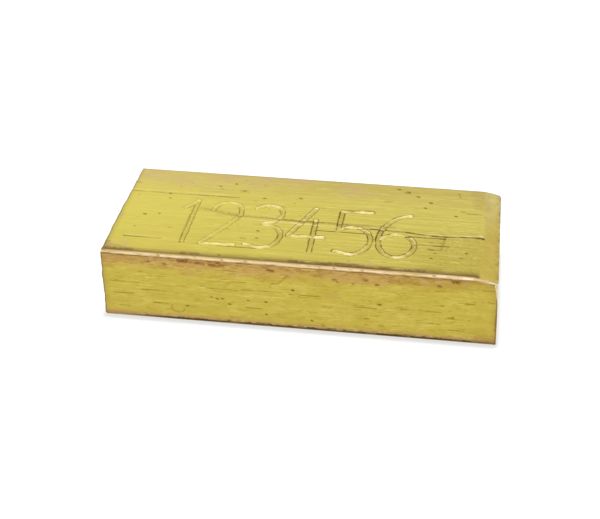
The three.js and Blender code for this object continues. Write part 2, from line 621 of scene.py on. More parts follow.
@dataclass
class FlatBar:
    """The bar's sizes in millimetres, with its section and its stations.

    The overall sizes are read from the imported part, and the worked edges repeat the part's own.

    Attributes:
        length: The overall length.
        width: The overall width.
        thickness: The overall thickness, with the lip.
        back_radius: The radius between the back and the top.
        underside_radius: The radius along the underside's edges.
        lip_height: How far the lip stands above the flat of the top.
        lip_run: How far the lip reaches back from its crest.
        lip_sweep: How far back the lip's curve is drawn by its control point.
        bevel_width: How wide the bevel is from the front to the crest.
        bevel_drop: How far the bevel's foot lies below the flat of the top.
        bevel_crown: How far the bevel stands proud of a straight one.
        roll_length: How long the rolled-down end is.
        roll_drop: How far its end drops.
        roll_sharpness: The power of its curve.
        lip_fade: How far before and after the roll's start the lip fades out.
        end_bevel_width: How wide the bevel is at the right end.
        saw_lean: How far the right end leans back at its top.
        saw_meeting: Where across the left end its two saw cuts meet.
        saw_step: The step between the two cuts where they meet.
        saw_slant: The step between them at the back.
        saw_undercut: How far the left end is cut under.
        saw_roughness: How uneven the left end is.
        saw_waves: Waves of its unevenness for each millimetre.
        edge_break: How far the ends' edges are broken.
        wave_height: The height of the faces' slow waves.
        line_height: The height of the lines that the drawing die left.
        knock_setbacks: The setbacks of the right end's front corner, its back corner and
            the left end's foot.
        sharp_angle: The angle between faces from which an edge is sharp, in degrees.
        grid: The spacing of its points.
        numerals: The numerals that the finer spacing is for.
    """

    length: float = field(init=False)
    width: float = field(init=False)
    thickness: float = field(init=False)
    back_radius: float = 0.6
    underside_radius: float = 0.35
    lip_height: float = 0.18
    lip_run: float = 2.9
    lip_sweep: float = 1.0
    bevel_width: float = 1.1
    bevel_drop: float = 0.55
    bevel_crown: float = 0.07
    roll_length: float = 6.2
    roll_drop: float = 1.05
    roll_sharpness: float = 1.7
    lip_fade: float = 0.8
    end_bevel_width: float = 0.5
    saw_lean: float = 0.68
    saw_meeting: float = 0.9
    saw_step: float = 0.1
    saw_slant: float = 0.45
    saw_undercut: float = 0.17
    saw_roughness: float = 0.3
    saw_waves: float = 0.28
    edge_break: float = 0.12
    wave_height: float = 0.03
    line_height: float = 0.012
    knock_setbacks: Sequence[Sequence[float]] = ((1.0, 1.3, 5.2), (0.7, 1.1, 1.6), (0.75, 1.0, 0.8))
    sharp_angle: float = 34.0
    grid: Grid = Grid()
    numerals: Numerals = Numerals()

    def __post_init__(self) -> None:
        """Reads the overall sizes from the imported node."""
        low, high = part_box(NODE)
        self.length, self.width, self.thickness = ((b - a) / MM for a, b in zip(low, high))

    @property
    def front(self) -> float:
        """The front face's place across the bar."""
        return -self.width / 2

    @property
    def back(self) -> float:
        """The back face's place across the bar."""
        return self.width / 2

    @property
    def top_level(self) -> float:
        """The height of the flat of the top face."""
        return self.thickness - self.lip_height

    @property
    def roll_start(self) -> float:
        """Where the rolled end starts along the bar."""
        return self.length / 2 - self.roll_length

    @property
    def fade_start(self) -> float:
        """Where the lip starts to fade along the bar."""
        return self.roll_start - self.lip_fade

    @property
    def fade_end(self) -> float:
        """Where the lip has faded out along the bar."""
        return self.roll_start + self.lip_fade

    @property
    def end_bevel_share(self) -> float:
        """The bevel's width at the right end as a share of its full width."""
        return self.end_bevel_width / self.bevel_width

    def tree_sizes(self) -> dict[str, float]:
        """Gives the sizes that the bar's tree takes, under its inputs' names."""
        return {name.replace("_", " ").capitalize(): getattr(self, name) for name in TREE_SIZES}

    def place_on(self, side: Side, along: float, down: float) -> Vector:
        """Finds a point on a face.

        Args:
            side: The face.
            along: Millimetres from the square end.
            down: Millimetres from the back edge on the top, or from the top on the front.

        Returns:
            The point in millimetres.
        """
        x = along - self.length / 2
        if side is Side.TOP:
            return Vector((x, self.back - down, self.top_level))
        return Vector((x, self.front, self.thickness - down))

    def knocks(self) -> list[Knock]:
        """Gives the three knocked corners.

        Returns:
            The right end's front and back corners, and the left end's foot.
        """
        half = self.length / 2
        end = half - self.saw_lean * self.top_level / self.thickness
        end_top = self.top_level - self.roll_drop
        corners = ((end, self.front, end_top), (end, self.back, end_top), (-half, self.front, 0.0))
        signs = ((1, -1, 1), (1, 1, 1), (-1, -1, -1))
        return [Knock(*map(Vector, sizes)) for sizes in zip(corners, signs, self.knock_setbacks)]

    def section(self) -> list[Place]:
        """Draws the section, from the underside's front corner round by the back.

        Returns:
            Places across and up, in millimetres, in turning order.
        """
        grid, quarter, flat = self.grid, math.pi / 2, self.top_level
        low, high = self.underside_radius, self.back_radius
        crest = (self.front + self.bevel_width, self.thickness)
        lip_foot = (crest[0] + self.lip_run, flat)
        bevel_foot = (self.front, flat - self.bevel_drop)
        crown = crown_control(crest, bevel_foot, self.bevel_crown)
        fine_from = self.back - self.numerals.foot - grid.margin
        fine_to = self.back - self.numerals.head + grid.margin

        def top_step(forward: float) -> float:
            """Gives the spacing on the top at a place forward of the bar's middle line."""
            return grid.top_fine if fine_from < -forward < fine_to else grid.top

        points = [(y, 0.0) for y in graded(self.front + low, self.back - low, lambda _: grid.under)]
        points += arc((self.back - low, low), low, -quarter, 0.0, grid.low_corner)
        points += [(self.back, z) for z in graded(low, flat - high, lambda _: grid.back)]
        points += arc((self.back - high, flat - high), high, 0.0, quarter, grid.back_corner)
        points += [(-y, flat) for y in graded(high - self.back, -lip_foot[0], top_step)]
        points += quadratic(lip_foot, (crest[0] + self.lip_sweep, flat), crest, grid.lip)
        points += quadratic(crest, crown, bevel_foot, grid.bevel)
        points += [(self.front, -z) for z in graded(-bevel_foot[1], -low, lambda _: grid.front)]
        points += arc((self.front + low, low), low, 2 * quarter, 3 * quarter, grid.low_corner)
        return points

    def stations(self) -> list[float]:
        """Places the sections along the bar, closest under the numerals.

        Returns:
            Places along the bar in millimetres, with both ends.
        """
        grid, half = self.grid, self.length / 2
        first, last = (place - half for place in self.numerals.span)
        inner = half - self.edge_break
        places = graded(-inner, inner, lambda x: grid.along_fine if first < x < last else grid.along)
        return [-half, *places, inner, half]

    def build(
        self, marks: Mapping[str, Sequence[Mark]], finishes: Mapping[str, bpy.types.Material]
    ) -> bpy.types.Object:
        """Runs the bar's tree and turns its result into a plain mesh.

        Args:
            marks: The marks to cut, under the names of CUTTINGS.
            finishes: The materials, under the names of FINISH_INPUTS.

        Returns:
            The finished bar, with no modifier left on it.
        """
        helpers = {
            "Section": wire_curve("section", [(y, z, 0.0) for y, z in self.section()], closed=True),
            "Stations": wire_curve("stations", [(0.0, 0.0, x) for x in self.stations()], closed=False),
        }
        helpers.update({name: MarkSet(name.lower(), cuts).wire(self) for name, cuts in marks.items()})
        seed = placed("bar_seed", bpy.data.meshes.new("bar_seed"))
        modifier = seed.modifiers.new("brass bar", "NODES")
        modifier.node_group = BarTree(self).tree
        set_inputs(modifier, {**self.tree_sizes(), **helpers, **finishes})
        graph = bpy.context.evaluated_depsgraph_get()
        grown = seed.evaluated_get(graph)
        mesh = bpy.data.meshes.new_from_object(grown, preserve_all_data_layers=True, depsgraph=graph)
        mesh.name = PIECE
        piece = placed(PIECE, mesh)
        for used in (seed, *helpers.values()):
            bpy.data.objects.remove(used)
        mesh.shade_smooth()
        mesh.set_sharp_from_angle(angle=math.radians(self.sharp_angle))
        LOG.info("%s: %d triangles", PIECE, sum(len(face.vertices) - 2 for face in mesh.polygons))
        return piece


def graded(start: float, end: float, spacing: Callable[[float], float]) -> list[float]:
    """Walks from start towards end with a spacing that depends on the place.

    Args:
        start: The first place.
        end: The place that the last step would reach.
        spacing: Gives the wished step at a place.

    Returns:
        The places, without the end.
    """
    places = [start]
    while places[-1] < end:
        places.append(places[-1] + spacing(places[-1]))
    stretch = (end - start) / (places[-1] - start)
    return [start + (place - start) * stretch for place in places[:-1]]


def arc(centre: Place, radius: float, first: float, last: float, count: int) -> list[Place]:
    """Divides an arc.

    Args:
        centre: Its centre.
        radius: Its radius.
        first: Its first angle in radians.
        last: Its last angle in radians.
        count: How many stretches it has.

    Returns:
        The places, without the last.
    """
    angles = (first + (last - first) * k / count for k in range(count))
    return [(centre[0] + radius * math.cos(a), centre[1] + radius * math.sin(a)) for a in angles]


def quadratic(start: Place, control: Place, end: Place, count: int) -> list[Place]:
    """Divides a curve with one control point.

    Args:
        start: Where it starts.
        control: Its control point.
        end: Where it ends.
        count: How many stretches it has.

    Returns:
        The places, without the last.
    """
    shares = [k / count for k in range(count)]
    return [
        tuple((1 - t) ** 2 * a + 2 * t * (1 - t) * c + t**2 * b for a, c, b in zip(start, control, end))
        for t in shares
    ]


def crown_control(start: Place, end: Place, crown: float) -> Place:
    """Finds the control point of a curve that stands proud of its chord.

    Args:
        start: Where the curve starts.
        end: Where it ends.
        crown: How far its middle stands from the chord's.

    Returns:
        The control point.
    """
    along, up = end[0] - start[0], end[1] - start[1]
    reach = math.hypot(along, up)
    middle = ((start[0] + end[0]) / 2, (start[1] + end[1]) / 2)
    return (middle[0] + 2 * crown * up / reach, middle[1] - 2 * crown * along / reach)


# ---------------------------------------------------------------------------
# The trees that make the bar
# ---------------------------------------------------------------------------


class ShapeBench(GroupBench):
    """A Geometry Nodes tree being built."""

    def __init__(self, name: str, inputs: Mapping[str, Union[float, str]], output: str) -> None:
        """Makes the tree, which gives one shape."""
        super().__init__(name, "GeometryNodeTree", inputs, {output: "Geometry"})

    def shape(
        self, kind: str, inputs: Inputs = None, output: Union[int, str] = 0, **settings: object
    ) -> Field:
        """Adds a node and takes one of its outputs as a shape."""
        return Field(self, self.add(kind, inputs, **settings).outputs[output])

    def shape_of(self, label: str) -> Field:
        """Gives the shape of the object that one of the tree's inputs takes."""
        return self.shape("GeometryNodeObjectInfo", {"Object": self[label]}, "Geometry")

    def where(self) -> VectorField:
        """Reads the points' places."""
        return self.vector("GeometryNodeInputPosition")

    def held(self, label: Value, data_type: str = "FLOAT") -> NumberField:
        """Reads the number that a shape holds under a label."""
        return self.number("GeometryNodeInputNamedAttribute", {"Name": label}, data_type=data_type)

    def outward(self) -> VectorField:
        """Reads the direction out of the bar, which was kept before the marks were cut."""
        return self.vector("GeometryNodeInputNamedAttribute", {"Name": "outward"}, data_type="FLOAT_VECTOR")

    def keep(
        self, shape: Field, label: Value, value: Field, data_type: str = "FLOAT", domain: str = "POINT"
    ) -> Field:
        """Stores a field on a shape.

        Args:
            shape: The shape.
            label: The label to store it under.
            value: The field.
            data_type: The stored values' type.
            domain: What holds a value each.

        Returns:
            The shape with the stored field.
        """
        inputs = {"Geometry": shape, "Name": label, "Value": value}
        return self.shape("GeometryNodeStoreNamedAttribute", inputs, data_type=data_type, domain=domain)

    def put(self, shape: Field, places: VectorField) -> Field:
        """Puts a shape's points in other places."""
        return self.shape("GeometryNodeSetPosition", {"Geometry": shape, "Position": places})

    def shift(self, shape: Field, offset: VectorField) -> Field:
        """Shifts a shape's points."""
        return self.shape("GeometryNodeSetPosition", {"Geometry": shape, "Offset": offset})


def cut_marks_group() -> bpy.types.NodeTree:
    """Builds the group that cuts a wire of marks into the bar.

    Each mark has a floor and sloping walls. Points close to a wall's foot or brink are drawn
    onto it, so that its edges run clean across the bar's grid of points. A floor may tilt, so
    that a groove is shallower towards the back of the bar than towards the front.

    Returns:
        The group. It presses the points near the wire inwards, raises a burr beside the cut
        and adds the marks' dirt to the attribute that Label names.
    """
    inputs = {
        "Bar": "Geometry", "Marks": "Object", "Label": "String", "Wall": 0.24, "Snap": 0.1, "Tilt": 0.0,
        "Unevenness": 0.3, "Waves per millimetre": 0.5, "Burr width": 0.5, "Dirt past brink": 0.15,
    }
    least = 0.01
    bench = ShapeBench("cut marks", inputs, "Bar")
    wire, place, outward = bench.shape_of("Marks"), bench.where(), bench.outward()
    near = bench.add("GeometryNodeProximity", {0: wire}, target_element="EDGES")
    distance = NumberField(bench, near.outputs["Distance"])
    index = bench.number("GeometryNodeSampleNearest", {"Geometry": wire}, domain="POINT")
    reach, depth, lip, stain = (
        bench.number(
            "GeometryNodeSampleIndex",
            {"Geometry": wire, "Value": bench.held(label), "Index": index},
            data_type="FLOAT",
            domain="POINT",
        )
        for label in MARK_SIZES
    )
    swing = place.scaled(bench["Waves per millimetre"]).noise(1.0).between(-1.0, 1.0)
    pressure = swing * bench["Unevenness"] + 1.0
    brink = reach * pressure
    foot = (brink - bench["Wall"]).at_least(0.0)
    to_foot, to_brink = foot - distance, brink - distance
    at_foot, at_brink = abs(to_foot) < bench["Snap"], abs(to_brink) < bench["Snap"]
    drawn = at_foot * to_foot + at_brink * (1.0 - at_foot) * to_brink
    settled = distance + drawn
    aside = place - VectorField(bench, near.outputs["Position"])
    sideways = aside - outward.scaled(aside.dot(outward))
    slide = sideways.unit().scaled(drawn)
    behind = aside.parts()[1] / brink.at_least(least)
    hollow = (behind * bench["Tilt"] - 1.0) * settled.ramp(foot, brink, 1.0, 0.0)
    burr = settled.ramp(brink, brink + bench["Burr width"], 1.0, 0.0) * (settled > brink - least)
    press = outward.scaled((depth * hollow + lip * burr) * pressure)
    dirt = stain * settled.fade(foot, brink + bench["Dirt past brink"])
    label = bench["Label"]
    kept = bench.keep(bench["Bar"], label, bench.held(label).at_least(dirt))
    bench.give("Bar", bench.shift(kept, slide + press))
    return bench.tree


@dataclass(frozen=True)
class Cutting:
    """How one set of marks is cut.

    Attributes:
        label: The attribute that its dirt is kept in.
        wall: How wide a groove's walls are.
        snap: How far points are drawn onto a wall's edges.
        tilt: How much a groove's floor tilts towards the front, as a share of its depth.
        unevenness: How much its width and depth vary.
    """

    label: str
    wall: float
    snap: float = 0.0
    tilt: float = 0.0
    unevenness: float = 0.3


CUTTINGS = {
    "Blushes": Cutting("blush", wall=9.0, unevenness=0.6),
    "Stains": Cutting("stain", wall=0.6, unevenness=0.5),
    "Scores": Cutting("scored", wall=0.45, unevenness=0.45),
    # These lines are painted highlights: they cut nothing and only lay a pale tone.
    "Rubs": Cutting("rubbed", wall=0.4, unevenness=0.6),
    "Numerals": Cutting("cut", wall=0.28, snap=0.12, tilt=0.75, unevenness=0.35),
    "Dints": Cutting("scored", wall=0.3, snap=0.08),
}


# The tree's inputs for its materials. Each finish covers the ones before it on its own faces.
FINISH_INPUTS = ("Drawn", "Burnished", "Sawn")


class BarTree(ShapeBench):
    """The tree that sweeps the bar, works its ends, cuts its marks and hands out its finishes."""

    def __init__(self, bar: FlatBar) -> None:
        """Builds the tree.

        Args:
            bar: The bar whose sizes its inputs take.
        """
        inputs: dict[str, Union[float, str]] = {"Geometry": "Geometry"}
        inputs.update({label: "Object" for label in ("Section", "Stations", *CUTTINGS)})
        inputs.update(bar.tree_sizes())
        inputs.update({label: "Material" for label in FINISH_INPUTS})
        super().__init__("brass bar", inputs, "Geometry")
        shape = self.put(self.swept(), self.worked())
        for corner in bar.knocks():
            shape = self.shift(shape, corner.offset(self))
        normal = self.vector("GeometryNodeInputNormal", output="Normal")
        shape = self.keep(shape, "outward", normal, "FLOAT_VECTOR")
        shape = self.shift(shape, self.unevenness())
        for name, cutting in CUTTINGS.items():
            sizes = {label.capitalize(): size for label, size in asdict(cutting).items()}
            given = {"Bar": shape, "Marks": self[name], **sizes}
            shape = self.shape("GeometryNodeGroup", given, node_tree=bpy.data.node_groups["cut marks"])
        self.give("Geometry", self.dressed(shape))

    def swept(self) -> Field:
        """Sweeps the section over the stations, and marks the bevel's faces.

        Returns:
            The bar as it was drawn, lying along its own length.
        """
        curves = {"Curve": self.shape_of("Stations"), "Profile Curve": self.shape_of("Section")}
        shape = self.shape("GeometryNodeCurveToMesh", {**curves, "Fill Caps": True})
        across, up, along = self.where().parts()
        shape = self.put(shape, self.join(along, across, up))
        along, across, up = self.where().parts()
        before_crest = across < self["Width"] * -0.5 + self["Bevel width"]
        above_foot = up > self["Top level"] - self["Bevel drop"]
        shape = self.keep(shape, "bevel", before_crest * above_foot, "BOOLEAN", "FACE")
        return self.keep(shape, "from_end", self["Length"] * 0.5 - abs(along))

    def worked(self) -> VectorField:
        """Rolls the right end down, saws both ends and breaks their edges.

        Returns:
            The points' new places.
        """
        along, across, up = self.where().parts()
        half, front = self["Length"] * 0.5, self["Width"] * -0.5
        end_share = along.ramp(self["Fade start"], half)
        drop = self["Roll drop"] * along.ramp(self["Roll start"], half) ** self["Roll sharpness"]
        lip = (up - self["Top level"]).at_least(0.0)
        upper = up.ramp(self["Underside radius"], self["Top level"] - self["Bevel drop"])
        sunk = upper * drop + lip * along.ease(self["Fade start"], self["Fade end"])
        before_lip = across < front + self["Bevel width"] + self["Lip run"]
        lost = end_share.ramp(0.0, 1.0, 0.0, 1.0 - self["End bevel share"])
        pulled = (across - front) * (upper * before_lip * lost)
        lean = self["Saw lean"] * (up / self["Thickness"]) * end_share
        place = self.join(along + (self.cut_back() - lean), across - pulled, up - sunk)
        inset = abs(along).ramp(half - self["Edge break"], half) * self["Edge break"] * 2.0
        middle = self.join(place.parts()[0], 0.0, self["Thickness"] * 0.5)
        share = self.join(0.0, inset / self["Width"], inset / self["Thickness"])
        return place + (middle - place) * share

    def cut_back(self) -> NumberField:
        """Finds how far the left end is cut back, where its two saw cuts meet in a step.

        Returns:
            The distance, which is 0 away from that end.
        """
        reach, rough_start, rough_end = 1.5, 0.3, 0.7
        along, across, up = self.where().parts()
        second_cut = across > self["Saw meeting"]
        slant = across.ramp(self["Saw meeting"], self["Width"] * 0.5, self["Saw step"], self["Saw slant"])
        under = (1.0 - up / self["Thickness"]) * self["Saw undercut"]
        rough = self.join(0.0, across, up).noise(self["Saw waves"], *RAGGED).ramp(rough_start, rough_end)
        depth = rough * self["Saw roughness"] + (slant * second_cut + under)
        return depth * (self["Length"] * 0.5 + along).ramp(0.0, reach, 1.0, 0.0)

    def unevenness(self) -> VectorField:
        """Gives the faces their slow waves and the lines that the drawing die left.

        Returns:
            The points' shifts, which stay within the bar's overall sizes.
        """
        middling, on_roll, inwards = 0.5, 0.15, 0.65
        wave_stretch, line_stretch = (0.05, 0.11, 0.16), (0.016, 1.0, 1.0)
        place = self.where()
        wave = (place * wave_stretch).noise(1.0, 1.0) - middling
        line = (place * line_stretch).noise(1.15, 2.0, 0.6) - middling
        drawn = place.parts()[0].ease(self["Roll start"], self["Fade end"], 1.0, on_roll)
        shift = wave * self["Wave height"] + line * self["Line height"] * drawn
        return self.outward().scaled(shift - self["Wave height"] * inwards)

    def dressed(self, shape: Field) -> Field:
        """Scales the bar to metres and gives each face its finish.

        Args:
            shape: The bar in millimetres.

        Returns:
            The finished bar.
        """
        end_facing, right_facing, front_facing = 0.9, 0.6, -0.4
        shape = self.put(shape, self.where().scaled(MM))
        shape = self.shape("GeometryNodeRealizeInstances", {"Geometry": shape})
        along, across, _ = self.vector("GeometryNodeInputNormal", output="True Normal").parts()
        on_knock = (along > right_facing) * (across < front_facing)
        # The bevel and the knocked facet take the finish that carries the painted highlight.
        bright = self.held("bevel", "BOOLEAN").at_least(on_knock)
        for label, chosen in zip(FINISH_INPUTS, (True, bright, abs(along) > end_facing)):
            finish = {"Geometry": shape, "Selection": chosen, "Material": self[label]}
            shape = self.shape("GeometryNodeSetMaterial", finish)
        return shape


def wire_curve(name: str, points: Sequence[Sequence[float]], closed: bool) -> bpy.types.Object:
    """Makes a plain curve of straight stretches.

    Args:
        name: Its name.
        points: Its points in three dimensions.
        closed: Whether it joins up.

    Returns:
        The curve object.
    """
    curve = bpy.data.curves.new(name, "CURVE")
    curve.dimensions = "3D"
    spline = curve.splines.new("POLY")
    spline.points.add(len(points) - 1)
    for target, point in zip(spline.points, points):
        target.co = (*point, 1.0)
    spline.use_cyclic_u = closed
    return placed(name, curve)


def set_inputs(modifier: bpy.types.NodesModifier, values: Mapping[str, object]) -> None:
    """Sets a Geometry Nodes modifier's inputs by their sockets' identifiers.

    Args:
        modifier: The modifier.
        values: The values under the inputs' names.
    """
    for item in modifier.node_group.interface.items_tree:
        if item.item_type == "SOCKET" and item.in_out == "INPUT" and item.name in values:
            modifier[item.identifier] = values[item.name]


# ---------------------------------------------------------------------------
# Finishes
# ---------------------------------------------------------------------------


class MaskBench(GroupBench):
    """A shader node group being built. It gives one mask over the Place it is fed."""

    def __init__(self, name: str, output: str, inputs: Mapping[str, float]) -> None:
        """Makes the group with its numbers and its one mask."""
        super().__init__(name, "ShaderNodeTree", {"Place": "Vector", **inputs}, {output: "Float"})


def drawing_lines_group() -> bpy.types.NodeTree:
    """Builds the group for the soft streaks that drawing leaves along the bar.

    Returns:
        The group, whose Streaks is a value around 0.5 that changes quickly across the bar
        and slowly along it.
    """
    long_stretch, short_stretch, long_share = 0.018, 0.05, 0.55
    bench = MaskBench("drawing lines", "Streaks", {"Waves per millimetre": 1.7})
    along, across, up = bench["Place"].parts()
    across, up = across * bench["Waves per millimetre"], up * bench["Waves per millimetre"]
    long_lines = bench.join(along * long_stretch, across, up).noise(1.0, 3.0, 0.62)
    short_lines = bench.join(along * short_stretch, across, up).noise(1.9, 2.0, 0.55)
    bench.give("Streaks", short_lines * (1.0 - long_share) + long_lines * long_share)
    return bench.tree


def dashes_group() -> bpy.types.NodeTree:
    """Builds the group for thin straight dashes that lie in rows along the bar.

    Each row is cut into equal stretches. A share of them holds a dash, with its own place in
    the row, length and width.

    Returns:
        The group, whose Dashes is a mask that is 1 on a dash.
    """
    most_slip, end_fade = 7.0, 0.1
    sizes = {"Pitch": 0.6, "Stretch": 6.0, "Share": 0.3, "Width": 0.16, "Shift": 0.0}
    bench = MaskBench("dashes", "Dashes", sizes)
    along, across, up = bench["Place"].parts()
    height = (across + up + bench["Shift"]) / bench["Pitch"]
    row = height.floor()
    slip = bench.number("ShaderNodeTexWhiteNoise", {"W": row}, "Value", noise_dimensions="1D")
    run = slip * most_slip + along / bench["Stretch"]
    cell = {"Vector": bench.join(row, run.floor(), 0.0)}
    chance = bench.vector("ShaderNodeTexWhiteNoise", cell, "Color", noise_dimensions="2D")
    pick, middle, size = chance.parts()
    off = abs(height.fraction() - middle.between(0.25, 0.75)) * bench["Pitch"]
    width = bench["Width"] * size.between(0.4, 0.9)
    reach = size.between(0.14, 0.44)
    inside = abs(run.fraction() - 0.5).ramp(reach - end_fade, reach, 1.0, 0.0)
    line = off.ramp(width * SOLID_SHARE, width, 1.0, 0.0) * inside
    bench.give("Dashes", line * (pick < bench["Share"]))
    return bench.tree


def pitting_group() -> bpy.types.NodeTree:
    """Builds the group for small dark pits scattered over a face.

    Returns:
        The group, whose Pits is a mask that is 1 in the middle of a pit.
    """
    pit_stretch, crowd_waves = (0.7, 1.0, 1.0), 0.09
    bench = MaskBench("pitting", "Pits", {"Pits per millimetre": 0.35, "Size": 0.12, "Crowding": 0.3})
    inputs = {"Vector": bench["Place"] * pit_stretch, "Scale": bench["Pits per millimetre"]}
    cells = bench.add("ShaderNodeTexVoronoi", inputs, feature="F1")
    pick, size, _ = VectorField(bench, cells.outputs["Color"]).parts()
    kept = pick < bench["Place"].noise(crowd_waves, 1.0) + bench["Crowding"]
    width = bench["Size"] * size.between(0.35, 1.25)
    distance = NumberField(bench, cells.outputs["Distance"])
    bench.give("Pits", distance.ramp(width * SOLID_SHARE, width, 1.0, 0.0) * kept)
    return bench.tree


def tarnish_group() -> bpy.types.NodeTree:
    """Builds the group for a stain that hugs an edge and fades with a ragged border.

    Returns:
        The group, whose Stain is 1 at the edge and 0 past its reach.
    """
    border_stretch = (0.16, 0.5, 0.5)
    bench = MaskBench("edge tarnish", "Stain", {"Distance": 0.0, "Reach": 2.0, "Raggedness": 0.5})
    swing = (bench["Place"] * border_stretch).noise(1.0, 4.0, 0.6).between(-1.0, 1.0)
    reach = bench["Reach"] * (swing * bench["Raggedness"] + 1.0)
    bench.give("Stain", bench["Distance"].fade(0.0, reach))
    return bench.tree


class FinishBench(Bench):
    """A material of the bar being built around one Principled shader."""

    def __init__(self, name: str, bar: FlatBar) -> None:
        """Makes the material and reads each spot's place in millimetres.

        Args:
            name: The material's name.
            bar: The bar, whose edges the masks follow.
        """
        self.bar = bar
        self.material = bpy.data.materials.new(name)
        self.material.use_nodes = True
        super().__init__(self.material.node_tree)
        self.place = self.vector("ShaderNodeTexCoord", output="Object").scaled(1.0 / MM)
        self.along, self.across, self.up = self.place.parts()

    @cached_property
    def facing(self) -> tuple[NumberField, ...]:
        """The parts of the face's direction along, across and up."""
        return self.vector("ShaderNodeNewGeometry", output="True Normal").parts()

    @cached_property
    def on_top(self) -> NumberField:
        """A mask that is 1 on the top face and 0 on the sides."""
        return self.facing[2].ease(0.5, 0.75)

    def stamp(self, group: str, **inputs: Value) -> NumberField:
        """Places a shader group.

        Args:
            group: The group's name.
            **inputs: Values under the inputs' names, with underscores for spaces.

        Returns:
            The group's mask.
        """
        named = {"Place": self.place, **{name.replace("_", " "): value for name, value in inputs.items()}}
        return self.number("ShaderNodeGroup", named, node_tree=bpy.data.node_groups[group])

    def stored(self, label: str) -> NumberField:
        """Reads one of the piece's own attributes."""
        return self.number("ShaderNodeAttribute", output="Fac", attribute_name=label)

    def layered(self, colour: Value, *layers: tuple[NumberField, float, Value]) -> Value:
        """Lays colours over another one.

        Args:
            colour: The lowest colour.
            *layers: For each layer its mask, its strength and its colour.

        Returns:
            The mixed colour.
        """
        for mask, strength, laid in layers:
            colour = self.blend(self.maths("MULTIPLY", mask, strength, clamp=True), colour, laid)
        return colour

    def finished(
        self, colour: Value, roughness: Value, height: NumberField, depth: float
    ) -> bpy.types.Material:
        """Feeds the shader.

        Args:
            colour: The metal's colour.
            roughness: Its roughness.
            height: Its relief from 0 to 1.
            depth: How far 1 stands above 0, in millimetres.

        Returns:
            The material.
        """
        bump = self.vector("ShaderNodeBump", {"Distance": depth * MM, "Height": height})
        shown = {"Base Color": colour, "Metallic": 1.0, "Roughness": roughness, "Normal": bump}
        for name, value in shown.items():
            self.feed(self.tree.nodes["Principled BSDF"].inputs[name], value)
        return self.material


